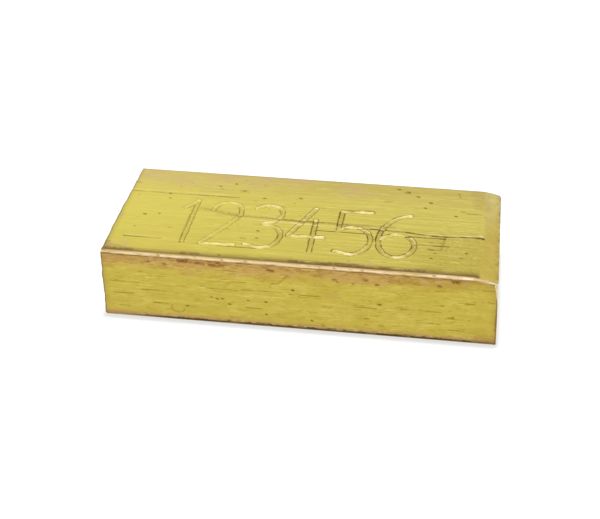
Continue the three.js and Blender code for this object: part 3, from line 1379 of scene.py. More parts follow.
@dataclass(frozen=True)
class DrawnBrass:
    """The drawn faces: golden yellow, dulled at the back, browned beside the edges, with painted shade and
    highlights.

    Each layer is a mask, its strength and a colour. Masks are steps, from where they start to
    where they end, over places in millimetres or over a noise.
    """

    clean: Colour = from_screen(219, 204, 90)
    shaded: Colour = from_screen(207, 192, 91)
    dull: Colour = from_screen(212, 193, 111)
    dull_right: Colour = from_screen(199, 180, 91)
    rosy: Colour = from_screen(206, 176, 122)
    # The sides' own tone, made darker than the top's as painted shade.
    side: Colour = from_screen(192, 173, 75)
    rolled_back: Colour = from_screen(219, 202, 124)
    rolled_front: Colour = from_screen(205, 181, 82)
    streak: Colour = from_screen(157, 135, 22)
    gleam: Colour = from_screen(240, 226, 130)
    olive: Colour = from_screen(134, 112, 4)
    speck: Colour = from_screen(124, 99, 4)
    brown: Colour = from_screen(108, 79, 18)
    edge_brown: Colour = from_screen(116, 74, 36)
    russet: Colour = from_screen(104, 48, 20)
    stained: Colour = from_screen(172, 132, 68)
    tarnished: Colour = from_screen(160, 128, 42)
    tinged: Colour = from_screen(188, 152, 86)
    blushed: Colour = from_screen(208, 174, 116)
    umber: Colour = from_screen(140, 112, 70)
    # The next two tones are a painted reflection of the floor along the foot.
    worn_foot: Colour = from_screen(168, 138, 90)
    paler_foot: Colour = from_screen(192, 156, 98)
    bruised: Colour = from_screen(146, 100, 52)
    grime: Colour = from_screen(64, 47, 25)
    burnished: Colour = from_screen(240, 226, 170)
    roughness: float = 0.21
    relief: float = 0.03

    def build(self, bar: FlatBar) -> bpy.types.Material:
        """Builds the finish.

        Args:
            bar: The bar, whose edges the stains follow.

        Returns:
            The material.
        """
        bench = FinishBench("drawn_brass", bar)
        streaks, pits = bench.stamp("drawing lines"), bench.stamp("pitting")
        rubbed, dirt = self.wear(bench)
        # The sides take a darker tone than the top: partly their own tone, partly painted shade.
        colour = bench.blend(bench.on_top, self.side_colour(bench), self.top_colour(bench))
        colour = bench.layered(
            self.lined(bench, colour, streaks),
            (pits * bench.on_top.ramp(0.0, 1.0, 1.0, 0.6), 0.7, self.speck),
            # Painted highlight on the cut walls and along the highlight lines.
            (rubbed, 0.8, self.burnished),
            (dirt, 0.85, bench.blend(bench.on_top, self.speck, self.brown)),
        )
        rough = dirt * 0.25 + (streaks * 0.25 + self.roughness)
        return bench.finished(self.spotted(bench, colour), rough, pits * -0.8 + streaks, self.relief)

    def lined(self, bench: FinishBench, colour: Value, streaks: NumberField) -> Value:
        """Draws the streaks, the flecks and the dashes.

        Args:
            bench: The material's bench.
            colour: The colour beneath them.
            streaks: The mask of the soft streaks.

        Returns:
            The mixed colour.
        """
        bar, along, on_top = bench.bar, bench.along, bench.on_top
        drawn = along.ease(bar.roll_start, bar.roll_start + 1.2, 1.0, 0.15)
        calm_back = bench.across.ramp(bar.back - 2.0, bar.back - 14.0, 0.6, 1.0)
        calm = along.ramp(-48.0, -5.0, 0.22, 0.9) * calm_back
        soft = drawn * on_top.ramp(0.0, 1.0, 0.4, calm)
        strength = bench.place.noise(0.13).ease(0.36, 0.6, 0.3, 0.85) * drawn
        strength = strength * on_top.ramp(0.0, 1.0, 0.68, 0.36) * along.ramp(-45.0, -10.0, 0.6, 1.0)
        nicked = strength * on_top.ramp(0.0, 1.0, 0.9, 0.35)
        flecks = bench.stamp("pitting", Pits_per_millimetre=0.62, Size=0.15, Crowding=-0.08)
        long_dashes = bench.stamp("dashes", Stretch=3.8, Share=0.24, Width=0.16)
        short_dashes = bench.stamp("dashes", Pitch=0.47, Stretch=1.8, Share=0.15, Width=0.19, Shift=0.17)
        light_dashes = bench.stamp("dashes", Pitch=0.83, Stretch=4.4, Share=0.3, Width=0.22, Shift=0.41)
        return bench.layered(
            colour,
            (streaks.ramp(0.44, 0.64) * soft, 0.26, self.streak),
            (streaks.ramp(0.5, 0.36) * soft, 0.2, self.gleam),
            (flecks * drawn * (1.0 - on_top), 0.45, self.gleam),
            (long_dashes * strength, 1.0, self.olive),
            (short_dashes * nicked, 1.0, self.olive),
            (light_dashes * soft, 0.5, self.gleam),
        )

    def wear(self, bench: FinishBench) -> tuple[NumberField, NumberField]:
        """Finds where painted highlights lie on the cut walls and along the highlight lines, and where the
        cuts are dirty.

        Args:
            bench: The material's bench.

        Returns:
            A mask of the painted highlight, and a mask of the dirt.
        """
        place, along, cut = bench.place, bench.along, bench.stored("cut")
        towards_front = (-bench.facing[1]).ease(0.08, 0.22)
        highlight_breakup = place.noise(0.5).ease(0.3, 0.6, 0.35, 1.0)
        # Painted highlight: cut walls on the top that face the front are paled, broken up by a noise.
        front_wall_highlight = cut.ease(0.3, 0.7) * towards_front * bench.on_top * highlight_breakup
        rubbed = (front_wall_highlight * along.ramp(-35.0, 5.0, 0.5, 1.0)).at_least(bench.stored("rubbed") * highlight_breakup)
        patchy = place.noise(0.3, 3.0).ease(0.3, 0.56, 0.25, 1.0)
        walls = cut * (1.0 - cut) * 4.0
        held = (cut * 0.25 + walls) * along.ramp(-20.0, 15.0, 0.4, 1.1) * patchy * (1.0 - rubbed)
        return rubbed, held.at_least(bench.stored("scored").ease(0.1, 0.6) * patchy)

    def spotted(self, bench: FinishBench, colour: Value) -> Value:
        """Lays the blushes, the spots and the brown outline of both ends.

        Args:
            bench: The material's bench.
            colour: The colour beneath them.

        Returns:
            The mixed colour.
        """
        place, on_top, from_end = bench.place, bench.on_top, bench.stored("from_end")
        flushed = bench.stored("blush") * place.noise(0.35, *RAGGED).ease(0.35, 0.6, 0.2, 1.0)
        spots = bench.stored("stain") * place.noise(1.1, *RAGGED).ease(0.32, 0.54, 0.25, 1.0)
        broken = place.noise(0.5, *RAGGED).ease(0.5, 0.6, 1.0, 0.3)
        kept = 1.0 - on_top * (bench.along > 0.0) * broken
        return bench.layered(
            colour,
            (flushed, 0.65, bench.blend(on_top, self.tinged, self.blushed)),
            (spots, 0.82, bench.blend(on_top, self.russet, self.edge_brown)),
            (from_end.fade(0.3, 2.2) * kept, 0.25, self.umber),
            (from_end.fade(0.2, 0.6) * kept, 0.65, self.brown),
        )

    def top_colour(self, bench: FinishBench) -> Value:
        """Colours the top: clean in the middle, dull along the back, darker towards the front as painted
        shade, and brown beside the bevel, partly painted shade.

        Args:
            bench: The material's bench.

        Returns:
            The top's colour.
        """
        bar, place, along, across = bench.bar, bench.place, bench.along, bench.across
        from_back, from_crest = bar.back - across, across - (bar.front + bar.bevel_width)
        dull = bench.blend(along.ramp(-45.0, 5.0), self.dull, self.dull_right)
        dulled = bench.stamp("edge tarnish", Distance=from_back, Reach=15.0, Raggedness=0.45)
        scuffed = along.ease(22.0, 36.0) * from_back.ease(20.0, 27.0)
        scuff = place * (1.1, 2.4, 1.0)
        scuffs = scuff.noise(1.0, *RAGGED)
        flat_colour = bench.layered(
            bench.blend(along.ramp(-45.0, 45.0), self.clean, self.shaded),
            (dulled, 0.95, dull),
            # Painted shade: the top darkens towards the front.
            (from_back.ramp(22.0, 38.0), 0.14, self.streak),
            (scuffed, 0.3, self.streak),
            (scuffed * scuffs.ease(0.58, 0.68), 0.45, self.brown),
            (scuffed * scuffs.ease(0.4, 0.32), 0.5, self.gleam),
            (place.noise(0.07, *RAGGED).ease(0.5, 0.66) * dulled, 0.7, self.rosy),
        )
        middling = 1.0 - abs(across / bar.back) ** 2.0
        wander = place.noise(0.3, *RAGGED) * 1.2 + middling * 0.8
        rolled = (along - wander).ease(bar.roll_start - 0.3, bar.roll_start + 0.7)
        flat = 1.0 - rolled
        # Darker along the back edge.
        dark_back_edge = from_back.fade(0.3, 1.5) * along.ramp(-30.0, -10.0, 0.35, 1.0)
        crusted = (scuff.noise(0.45, *RAGGED) * -2.2 + from_crest).fade(-0.8, 0.1)
        # Beside the crest the top darkens: partly tarnish, partly painted shade in the shallow hollow by the
        # lip.
        tarnish_and_shade_by_crest = bench.stamp("edge tarnish", Distance=from_crest, Reach=3.4, Raggedness=0.6)
        tarnish_and_shade_by_crest = tarnish_and_shade_by_crest * flat * along.ramp(-15.0, 5.0, 0.72, 1.0) * along.ramp(18.0, 28.0, 1.0, 0.85)
        return bench.layered(
            bench.blend(rolled, flat_colour, self.rolled_colour(bench, from_back)),
            (dark_back_edge, 0.3, self.umber),
            (crusted * along.ease(-10.0, 5.0, 0.3, 1.0) * flat, 0.5, self.edge_brown),
            (tarnish_and_shade_by_crest, 0.84, self.edge_brown),
        )

    def rolled_colour(self, bench: FinishBench, from_back: NumberField) -> Value:
        """Colours the rolled-down end: mottled, darker at its start as painted shade, and specked and
        bruised towards its edge.

        Args:
            bench: The material's bench.
            from_back: Each spot's distance from the back.

        Returns:
            The end's colour.
        """
        place, along, start, half = bench.place, bench.along, bench.bar.roll_start, bench.bar.length / 2
        specks = place.noise(1.3, *RAGGED).ease(0.58, 0.66) * along.ramp(start + 1.5, half)
        worn = place.noise(0.35, *RAGGED).ease(0.42, 0.6) * along.ramp(half - 2.0, half - 0.4)
        return bench.layered(
            bench.blend(from_back.ramp(4.0, 24.0), self.rolled_back, self.rolled_front),
            # Painted shade: darker where the roll starts, fading out towards the end.
            (along.ramp(start, half, 0.18, 0.0), 1.0, self.streak),
            (place.noise(0.45, 4.0, 0.6).ease(0.42, 0.62), 0.14, self.streak),
            (specks, 0.4, self.edge_brown),
            (worn, 0.4, self.bruised),
        )

    def side_colour(self, bench: FinishBench) -> Value:
        """Colours the sides: their own tone darkened as painted shade, stained under the bevel, with russet
        spots.

        Args:
            bench: The material's bench.

        Returns:
            The sides' colour.
        """
        bar, place, along = bench.bar, bench.place, bench.along
        below = bar.top_level - bar.bevel_drop - bench.up
        patch, spot = place * (0.22, 0.6, 0.6), place * (0.42, 1.3, 1.3)
        mottle, cloud = patch.noise(1.0, 4.0, 0.62), spot.noise(1.0, 4.0, 0.65)
        stained = bench.blend(cloud.ease(0.42, 0.6), self.stained, self.tinged)
        stained = bench.blend(along.ramp(22.0, 36.0), stained, self.tarnished)
        rightward = along.ramp(30.0, 46.0, 1.0, 0.45)
        brink = below.fade(0.1, 1.3) * rightward
        under = bench.stamp("edge tarnish", Distance=below, Reach=5.0, Raggedness=0.9)
        under = under * rightward * bench.across.ramp(-1.0, 1.0, 1.0, 0.6)
        strokes = bench.stamp("dashes", Pitch=0.43, Stretch=2.4, Share=0.42, Width=0.2, Shift=0.3)
        colour = bench.layered(
            self.side,
            (mottle.ease(0.5, 0.68), 0.22, self.streak),
            (mottle.ease(0.48, 0.34), 0.14, self.gleam),
            (along.ease(41.0, 46.0), 0.12, self.tarnished),
            (under * cloud.ease(0.34, 0.56, 0.45, 1.15), 1.0, stained),
            (brink * cloud.ease(0.6, 0.4), 0.5, self.umber),
            (place.noise(0.6, *RAGGED).ease(0.6, 0.68) * under, 0.45, self.russet),
            (under.ease(0.25, 0.8) * cloud.ease(0.47, 0.38), 0.6, self.bruised),
            (under.ease(0.2, 0.6) * patch.noise(1.7, 3.0).ease(0.52, 0.62), 0.4, self.rosy),
            (strokes * under.ease(0.1, 0.6), 0.55, self.bruised),
        )
        return self.footed(bench, colour, spot, cloud)

    def footed(self, bench: FinishBench, colour: Value, spot: VectorField, cloud: NumberField) -> Value:
        """Dirties the foot of the sides, lays a painted reflection of the floor along it, and paints shade
        along the bottom edge.

        Args:
            bench: The material's bench.
            colour: The colour beneath.
            spot: The places that the sides' noises are read at.
            cloud: The noise that breaks up their stains.

        Returns:
            The mixed colour.
        """
        along, up = bench.along, bench.up
        foot = bench.stamp("edge tarnish", Distance=up, Reach=2.9, Raggedness=0.6)
        # Painted reflection of the floor along the rounded bottom edge: a pinkish strip, mottled in tone.
        foot_reflection = bench.blend(along.ramp(-10.0, 40.0), self.paler_foot, self.worn_foot)
        foot_reflection = bench.blend(cloud.ease(0.5, 0.62), foot_reflection, self.rosy)
        clean_start = along.ramp(-45.0, -32.0, 0.15, 0.95)
        lifted = spot.noise(1.5, *RAGGED).ramp(0.46, 0.68)
        # Painted shade: a near-black line along the bottom edge where the bar meets the floor.
        rim = (up - lifted * 0.3).fade(0.6, 0.95) * up.ease(0.15, 0.4, 0.3, 1.0)
        return bench.layered(
            colour,
            (foot.ease(0.0, 0.7), 0.85, self.tinged),
            (up.ease(1.8, 1.0) * cloud.ease(0.36, 0.56, 0.45, 1.0), 0.9, foot_reflection),
            # Painted shade along the bottom edge: a darker band, then a near-black line at the very bottom.
            ((up - lifted).fade(0.35, 0.75) * clean_start, 0.55, self.umber),
            (rim * clean_start, 0.9, self.grime),
        )


@dataclass(frozen=True)
class BurnishedBevelPaintedHighlight:
    """The bevel: pale along its crest under a painted highlight, worn in patches, brown below it."""

    # The first two tones are the painted highlight along the crest; the third is the darker painted shade on
    # both sides of its core.
    bright: Colour = from_screen(206, 186, 140)
    brightest: Colour = from_screen(234, 217, 186)
    rim: Colour = from_screen(180, 152, 98)
    worn: Colour = from_screen(176, 142, 92)
    brown: Colour = from_screen(120, 84, 44)
    roughness: float = 0.2
    relief: float = 0.03

    def build(self, bar: FlatBar) -> bpy.types.Material:
        """Builds the finish.

        Args:
            bar: The bar, whose bevel it covers.

        Returns:
            The material.
        """
        bench = FinishBench("burnished_brass_painted_highlight", bar)
        along, across, spot = bench.along, bench.across, bench.place * (0.3, 1.4, 1.4)
        # Worn patches dull the crest and break its painted highlight.
        rubbed = spot.noise(1.0, 3.0, 0.55).ease(0.52, 0.7, 0.0, 0.8)
        glint = along.ramp(5.0, 42.0, 0.25, 1.0) * spot.noise(1.3).ease(0.4, 0.6)
        nicked = spot.noise(2.6, *RAGGED).ease(0.5, 0.66) * along.ease(-32.0, -20.0)
        # Painted highlight: the crest pales towards its brightest tone along the bar.
        crest = bench.layered(bench.blend(glint, self.bright, self.brightest), (nicked, 0.4, self.worn))
        thinned = along.ease(14.0, 18.0) * along.ease(33.0, 29.0)
        reach = thinned * -0.12 + spot.noise(0.5, 3.0).ramp(0.35, 0.65, 0.2, 0.44)
        middle = spot.noise(0.8, 3.0) * 0.24 + (bar.front + bar.bevel_width * 0.36)
        # Painted highlight: a narrow core down the bevel takes the crest's tone, and the rest takes the
        # darker painted shade.
        highlight_core = (abs(across - middle) - reach).fade(-0.18, 0.12)
        colour = bench.blend(rubbed, bench.blend(highlight_core, self.rim, crest), self.worn)
        low_edge = spot.noise(0.6, 3.0) * 0.5 + (bar.front - 0.12)
        low = (across - low_edge).fade(0.0, 0.26)
        low = low * along.ramp(bar.roll_start, bar.roll_start + 2.0, 1.0, 0.2)
        low = low * spot.noise(1.6, 3.0).ease(0.4, 0.6, 0.5, 1.0)
        low = low.at_least(bench.stored("stain"))
        rough = low * 0.15 + (rubbed * 0.2 + self.roughness)
        colour = bench.layered(colour, (low, 0.85, self.brown))
        return bench.finished(colour, rough, bench.place.noise(2.2, 3.0), self.relief)


@dataclass(frozen=True)
class SawnBrass:
    """The sawn ends: paler, with the saw's lines across them."""

    pale: Colour = from_screen(214, 194, 120)
    groove: Colour = from_screen(170, 142, 76)
    roughness: float = 0.38
    relief: float = 0.09
    lean: float = 0.18
    drift: float = 0.02
    pitch: float = 0.85

    def build(self, bar: FlatBar) -> bpy.types.Material:
        """Builds the finish.

        Args:
            bar: The bar, whose ends it covers.

        Returns:
            The material.
        """
        bench = FinishBench("sawn_brass", bar)
        stroke = (bench.across * self.lean + bench.up) / self.pitch
        teeth = bench.join(0.0, bench.across * self.drift, stroke).noise(2.2, 4.0, 0.65)
        tone = bench.place.noise(0.12, 3.0) * 0.5 + teeth.ramp(0.35, 0.7, 0.0, 0.5)
        colour = bench.blend(tone, self.pale, self.groove)
        return bench.finished(colour, self.roughness, teeth, self.relief)


# ---------------------------------------------------------------------------
# The studio
# ---------------------------------------------------------------------------


@dataclass(frozen=True)
class Lamp:
    """A square soft light that faces the bar.

    Attributes:
        name: Its name.
        place: Where it hangs, in metres.
        size: Its side in metres.
        radiance: How bright its surface is.
        reflected: Whether it shows in reflections.
    """

    name: str
    place: tuple[float, float, float]
    size: float
    radiance: float
    reflected: bool = True

    def hang(self) -> None:
        """Hangs the light."""
        light = bpy.data.lights.new(self.name, "AREA")
        light.shape = "SQUARE"
        light.size = self.size
        light.energy = self.radiance * math.pi * self.size**2
        lamp = placed(self.name, light)
        lamp.location = self.place
        lamp.rotation_euler = Vector(self.place).to_track_quat("Z", "Y").to_euler()
        lamp.visible_glossy = self.reflected


@dataclass(frozen=True)
class Studio:
    """A pale floor, soft lights and the camera.

    Attributes:
        picture_width: The picture's width in pixels.
        focal_pixels: The lens's focal length in pixels.
        azimuth: How far the camera stands to the right of straight in front, in degrees.
        elevation: How far it looks down, in degrees.
        shift: How far the bar's middle lies right of and above the picture's, in metres.
        distance: How far the camera stands from the bar's middle, in metres.
        nearest: How near the camera sees, in metres.
        floor_size: The floor's side in metres.
        floor_tone: How much light the floor throws back.
        floor_roughness: The floor's roughness.
        floor_glow: How much light the floor gives off.
        zenith: How bright the surroundings are overhead.
        horizon: How bright they are at the horizon.
        dusk: Where they start and stop brightening, from 0 at the horizon to 1 overhead.
        lamps: A broad light overhead, and a small one that casts the soft shadow. The small
            one's radiance is its light on the floor times the square of its height over its size.
    """

    picture_width: float = 600.0
    focal_pixels: float = 1341.1
    azimuth: float = 8.031
    elevation: float = 32.433
    shift: tuple[float, float] = (0.002337, 0.00218)
    distance: float = 0.353335
    nearest: float = 0.01
    floor_size: float = 3.0
    floor_tone: float = 0.27
    floor_roughness: float = 0.9
    floor_glow: float = 0.57
    zenith: float = 1.17
    horizon: float = 0.34
    dusk: tuple[float, float] = (0.05, 0.6)
    lamps: tuple[Lamp, ...] = (
        Lamp("overhead", (0.0, 0.0, 0.8), size=0.7, radiance=0.25),
        Lamp("key", (-0.022, 0.055, 0.9), size=0.07, radiance=3.5 * (0.9 / 0.07) ** 2, reflected=False),
    )

    def build(self, bar: FlatBar) -> None:
        """Builds the floor, the lights and the camera.

        Args:
            bar: The bar that the camera looks at.
        """
        self.lay_floor()
        self.surround()
        for lamp in self.lamps:
            lamp.hang()
        self.aim(Vector((0.0, 0.0, bar.thickness / 2 * MM)))
        LOG.info("studio: floor, lights and camera")

    def lay_floor(self) -> None:
        """Lays the floor and dresses it in white paper."""
        half, white = self.floor_size / 2, (1.0, 1.0, 1.0, 1.0)
        mesh = bpy.data.meshes.new("floor")
        corners = [(-half, -half, 0.0), (half, -half, 0.0), (half, half, 0.0), (-half, half, 0.0)]
        mesh.from_pydata(corners, [], [(0, 1, 2, 3)])
        floor = placed("floor", mesh)
        paper = bpy.data.materials.new("white_paper")
        paper.use_nodes = True
        shader = paper.node_tree.nodes["Principled BSDF"]
        shader.inputs["Base Color"].default_value = (self.floor_tone,) * 3 + (1.0,)
        shader.inputs["Roughness"].default_value = self.floor_roughness
        shader.inputs["Specular IOR Level"].default_value = 0.0
        shader.inputs["Emission Color"].default_value = white
        shader.inputs["Emission Strength"].default_value = self.floor_glow
        mesh.materials.append(paper)

    def surround(self) -> None:
        """Sets the surroundings, which are dimmer towards the horizon."""
        world = bpy.data.worlds.new("white_tent")
        bpy.context.scene.world = world
        world.use_nodes = True
        bench = Bench(world.node_tree)
        up = bench.vector("ShaderNodeTexCoord", output="Generated").parts()[2]
        sky = world.node_tree.nodes["Background"]
        sky.inputs["Color"].default_value = (1.0, 1.0, 1.0, 1.0)
        bench.feed(sky.inputs["Strength"], up.ease(*self.dusk, self.horizon, self.zenith))

    def aim(self, middle: Vector) -> None:
        """Places the camera.

        Args:
            middle: The middle of the bar.
        """
        turn, tilt = math.radians(self.azimuth), math.radians(self.elevation)
        back = Vector((math.sin(turn) * math.cos(tilt), -math.cos(turn) * math.cos(tilt), math.sin(tilt)))
        right = Vector((math.cos(turn), math.sin(turn), 0.0))
        up = back.cross(right)
        lens = bpy.data.cameras.new("camera")
        lens.lens = self.focal_pixels / self.picture_width * lens.sensor_width
        lens.clip_start = self.nearest
        camera = placed("camera", lens)
        place = middle + self.distance * back - self.shift[0] * right - self.shift[1] * up
        camera.matrix_world = Matrix.Translation(place) @ Matrix((right, up, back)).transposed().to_4x4()
        bpy.context.scene.camera = camera
        bpy.context.scene.view_settings.view_transform = "Standard"


# ---------------------------------------------------------------------------
# Wear, and the painted highlight lines beside the scores
# ---------------------------------------------------------------------------


def straight(rows: Rows, labels: str = "", side: Side = Side.TOP, **shared: float) -> list[Mark]:
    """Makes straight marks.

    Args:
        rows: For each mark its first place, its last place and its own sizes.
        labels: The names of its own sizes in order, with spaces between them.
        side: The face they lie on.
        **shared: The sizes that they all have.

    Returns:
        One mark for each row.
    """
    names = labels.split()
    return [
        Mark(((x0, y0), (x1, y1)), side=side, **shared, **dict(zip(names, own)))
        for x0, y0, x1, y1, *own in rows
    ]


def level(rows: Rows, labels: str = "", side: Side = Side.TOP, **shared: float) -> list[Mark]:
    """Makes straight marks that run along the bar.

    Args:
        rows: For each mark its start and end along the bar, its distance down or from the
            back, and its own sizes.
        labels: The names of its own sizes in order, with spaces between them.
        side: The face they lie on.
        **shared: The sizes that they all have.

    Returns:
        One mark for each row.
    """
    return straight([(x0, y, x1, y, *own) for x0, x1, y, *own in rows], labels, side, **shared)


def curved(rows: Sequence[tuple[Sequence[Place], Sequence[float]]], side: Side = Side.TOP) -> list[Mark]:
    """Makes curved marks, each from its places and its reach, depth, lip and stain."""
    return [Mark(tuple(path), *sizes, side=side, curved=True) for path, sizes in rows]


def scores() -> list[Mark]:
    """Gives the scores on the top, with the smudges among them.

    Returns:
        One mark for each score.
    """
    long_score = (
        (((25.5, 21.6), (33.0, 22.0), (41.5, 22.2)), (0.4, 0.05, 0.0, 0.28)),
        (((40.8, 22.2), (46.0, 22.3), (54.0, 22.2)), (0.7, 0.12, 0.03, 0.34)),
        (((53.0, 22.2), (57.0, 22.2), (60.0, 22.6)), (0.4, 0.05, 0.0, 0.28)),
        (((59.5, 24.3), (62.5, 24.3), (66.0, 24.2)), (0.34, 0.05, 0.02, 0.42)),
        (((65.5, 24.2), (70.0, 24.2), (74.0, 24.3)), (0.36, 0.07, 0.02, 0.8)),
        (((74.0, 24.3), (80.0, 25.1), (84.5, 25.4), (90.0, 24.9), (95.2, 24.6)), (0.34, 0.09, 0.03, 1.0)),
    )
    its_end = ((93.4, 24.9, 94.0, 24.9, 0.46, 0.09), (94.8, 24.8, 95.1, 24.9, 0.56, 0.1))
    smudges = (
        (68.7, 9.5, 71.1, 9.4), (70.7, 22.8, 71.5, 22.9), (88.0, 2.4, 88.5, 4.8), (24.5, 27.4, 25.4, 27.4),
        (29.6, 29.2, 30.3, 29.2), (33.8, 33.0, 35.2, 33.1), (34.2, 14.0, 34.9, 14.0),
        (42.2, 16.1, 42.9, 16.1), (45.8, 11.5, 46.3, 11.2), (36.1, 12.4, 36.9, 12.4),
        (14.5, 30.4, 15.6, 30.3), (52.5, 15.2, 53.2, 15.4), (89.0, 11.9, 89.8, 12.0),
    )
    lengthwise = (
        (0.6, 30.0, 12.9, 0.28, 0.03, 0.55), (90.5, 94.5, 12.9, 0.28, 0.04, 0.6),
        (4.0, 13.8, 36.0, 0.28, 0.03, 0.55), (75.5, 85.5, 26.5, 0.32, 0.05, 1.0),
        (81.5, 85.5, 28.6, 0.3, 0.05, 0.9), (77.5, 86.5, 30.0, 0.3, 0.05, 0.9),
        (81.5, 84.5, 32.1, 0.3, 0.05, 0.9), (52.0, 66.0, 26.7, 0.3, 0.04, 0.7),
        (28.5, 39.5, 37.5, 0.3, 0.03, 0.5), (2.0, 12.0, 29.8, 0.26, 0.02, 0.2),
    )
    crosswise = (((85.6, 25.9), (85.1, 28.6), (84.7, 32.3)), (0.3, 0.05, 0.0, 0.6))
    return [
        *curved(long_score),
        *straight(its_end, "reach depth"),
        *straight(smudges, reach=0.5, stain=0.34),
        *level(lengthwise, "reach depth stain"),
        *curved([crosswise]),
    ]


def highlight_lines() -> list[Mark]:
    """Gives the pale lines beside the scores, which are painted highlights.

    Returns:
        One mark for each line.
    """
    lines = (
        (94.3, 23.8, 95.0, 24.1, 0.55, 0.8), (78.0, 24.5, 84.0, 24.9, 0.3, 0.5),
        (84.0, 24.9, 94.2, 24.0, 0.34, 0.8), (42.0, 23.9, 53.0, 24.1, 0.42, 0.7),
        (32.5, 23.7, 42.0, 23.9, 0.36, 0.4), (53.0, 24.3, 58.5, 24.5, 0.4, 0.4),
        (0.8, 11.9, 29.0, 11.9, 0.34, 0.35), (30.0, 21.2, 41.0, 21.3, 0.3, 0.4),
        (66.0, 23.2, 74.0, 23.4, 0.26, 0.5), (76.0, 25.8, 85.0, 25.7, 0.26, 0.4),
        (80.0, 29.3, 84.0, 29.4, 0.24, 0.35), (5.0, 35.3, 15.0, 35.5, 0.26, 0.5),
        (82.0, 33.2, 84.5, 33.1, 0.28, 0.35), (86.5, 34.5, 89.5, 34.6, 0.28, 0.35),
        (88.0, 32.0, 90.5, 31.9, 0.26, 0.3),
    )
    return straight(lines, "reach stain")


def dints() -> list[Mark]:
    """Gives the larger pits and nicks.

    Returns:
        One short mark for each.
    """
    on_top = (
        (6.7, 24.6, 0.4), (10.5, 23.8, 0.3), (11.0, 13.2, 0.28), (23.6, 7.3, 0.3), (27.7, 5.5, 0.3),
        (30.5, 9.0, 0.4), (37.4, 29.0, 0.34), (37.7, 32.5, 0.32), (49.0, 5.5, 0.28), (74.2, 3.7, 0.7),
        (71.7, 2.3, 0.45), (77.1, 5.7, 0.46), (80.6, 8.5, 0.42), (79.3, 11.4, 0.4), (89.2, 11.8, 0.6),
        (87.6, 14.6, 0.42), (83.1, 33.5, 0.32), (89.5, 35.0, 0.34), (90.8, 32.5, 0.3), (82.2, 36.0, 0.3),
        (11.5, 15.5, 0.26), (24.3, 8.7, 0.26), (46.0, 10.7, 0.26), (36.4, 12.2, 0.26), (29.8, 41.8, 0.3),
    )
    on_front = (
        (48.7, 7.3, 0.4), (34.2, 8.8, 0.34), (28.0, 11.3, 0.34), (29.4, 11.7, 0.3), (30.8, 11.5, 0.34),
        (32.6, 13.0, 0.34), (21.6, 14.5, 0.34), (37.4, 11.5, 0.28), (41.9, 11.5, 0.32), (42.0, 15.2, 0.28),
        (53.6, 16.0, 0.28), (56.6, 17.3, 0.32), (74.8, 6.0, 0.34), (70.5, 9.5, 0.28), (88.6, 11.9, 0.32),
    )
    length, rise, narrowed, depth_share = 0.5, 0.06, 0.85, 0.2
    marks = []
    for side, pits in ((Side.TOP, on_top), (Side.FRONT, on_front)):
        rows = [(x, y, x + length, y + rise, size * narrowed, size * depth_share) for x, y, size in pits]
        marks += straight(rows, "reach depth", side, stain=0.8)
    return marks


def front_scars() -> list[Mark]:
    """Gives the drawing scars on the front, and the round dent that a tool left.

    Returns:
        One mark for each.
    """
    lines = (
        (1.0, 10.0, 8.5), (27.0, 35.0, 8.7), (36.0, 46.0, 8.4), (48.0, 55.5, 8.6), (33.0, 37.0, 6.2),
        (4.0, 7.0, 15.8), (13.0, 17.0, 14.3), (3.0, 8.0, 12.0), (10.0, 17.0, 10.6), (37.0, 41.0, 13.7),
        (65.0, 70.0, 10.8), (76.0, 86.0, 10.4), (82.0, 84.0, 14.0), (88.0, 92.0, 15.5), (90.0, 94.0, 7.4),
        (95.5, 98.8, 6.6), (95.5, 98.8, 3.1),
    )
    smudges = (
        (63.9, 65.2, 10.7), (70.1, 71.3, 9.7), (74.9, 76.3, 10.1), (80.6, 82.8, 10.4), (66.9, 67.9, 14.1),
        (87.9, 89.4, 11.9), (91.5, 92.8, 7.5), (85.7, 86.5, 8.4), (70.7, 71.8, 15.9),
        (9.6, 10.6, 5.2), (24.8, 25.6, 3.6),
    )
    dent = ((18.1, 14.4), (17.8, 15.4), (18.4, 16.3), (19.6, 16.7), (20.7, 16.4), (21.2, 15.6))
    chevron = ((43.6, 5.8), (45.1, 5.8), (46.4, 4.5), (47.4, 3.3))
    return [
        *level(lines, side=Side.FRONT, reach=0.2, depth=0.02, stain=0.5),
        *level(smudges, side=Side.FRONT, reach=0.6, stain=0.3),
        *curved([(dent, (0.26, 0.05, 0.02, 0.45))], Side.FRONT),
        Mark(chevron, 0.6, stain=0.3, side=Side.FRONT),
    ]


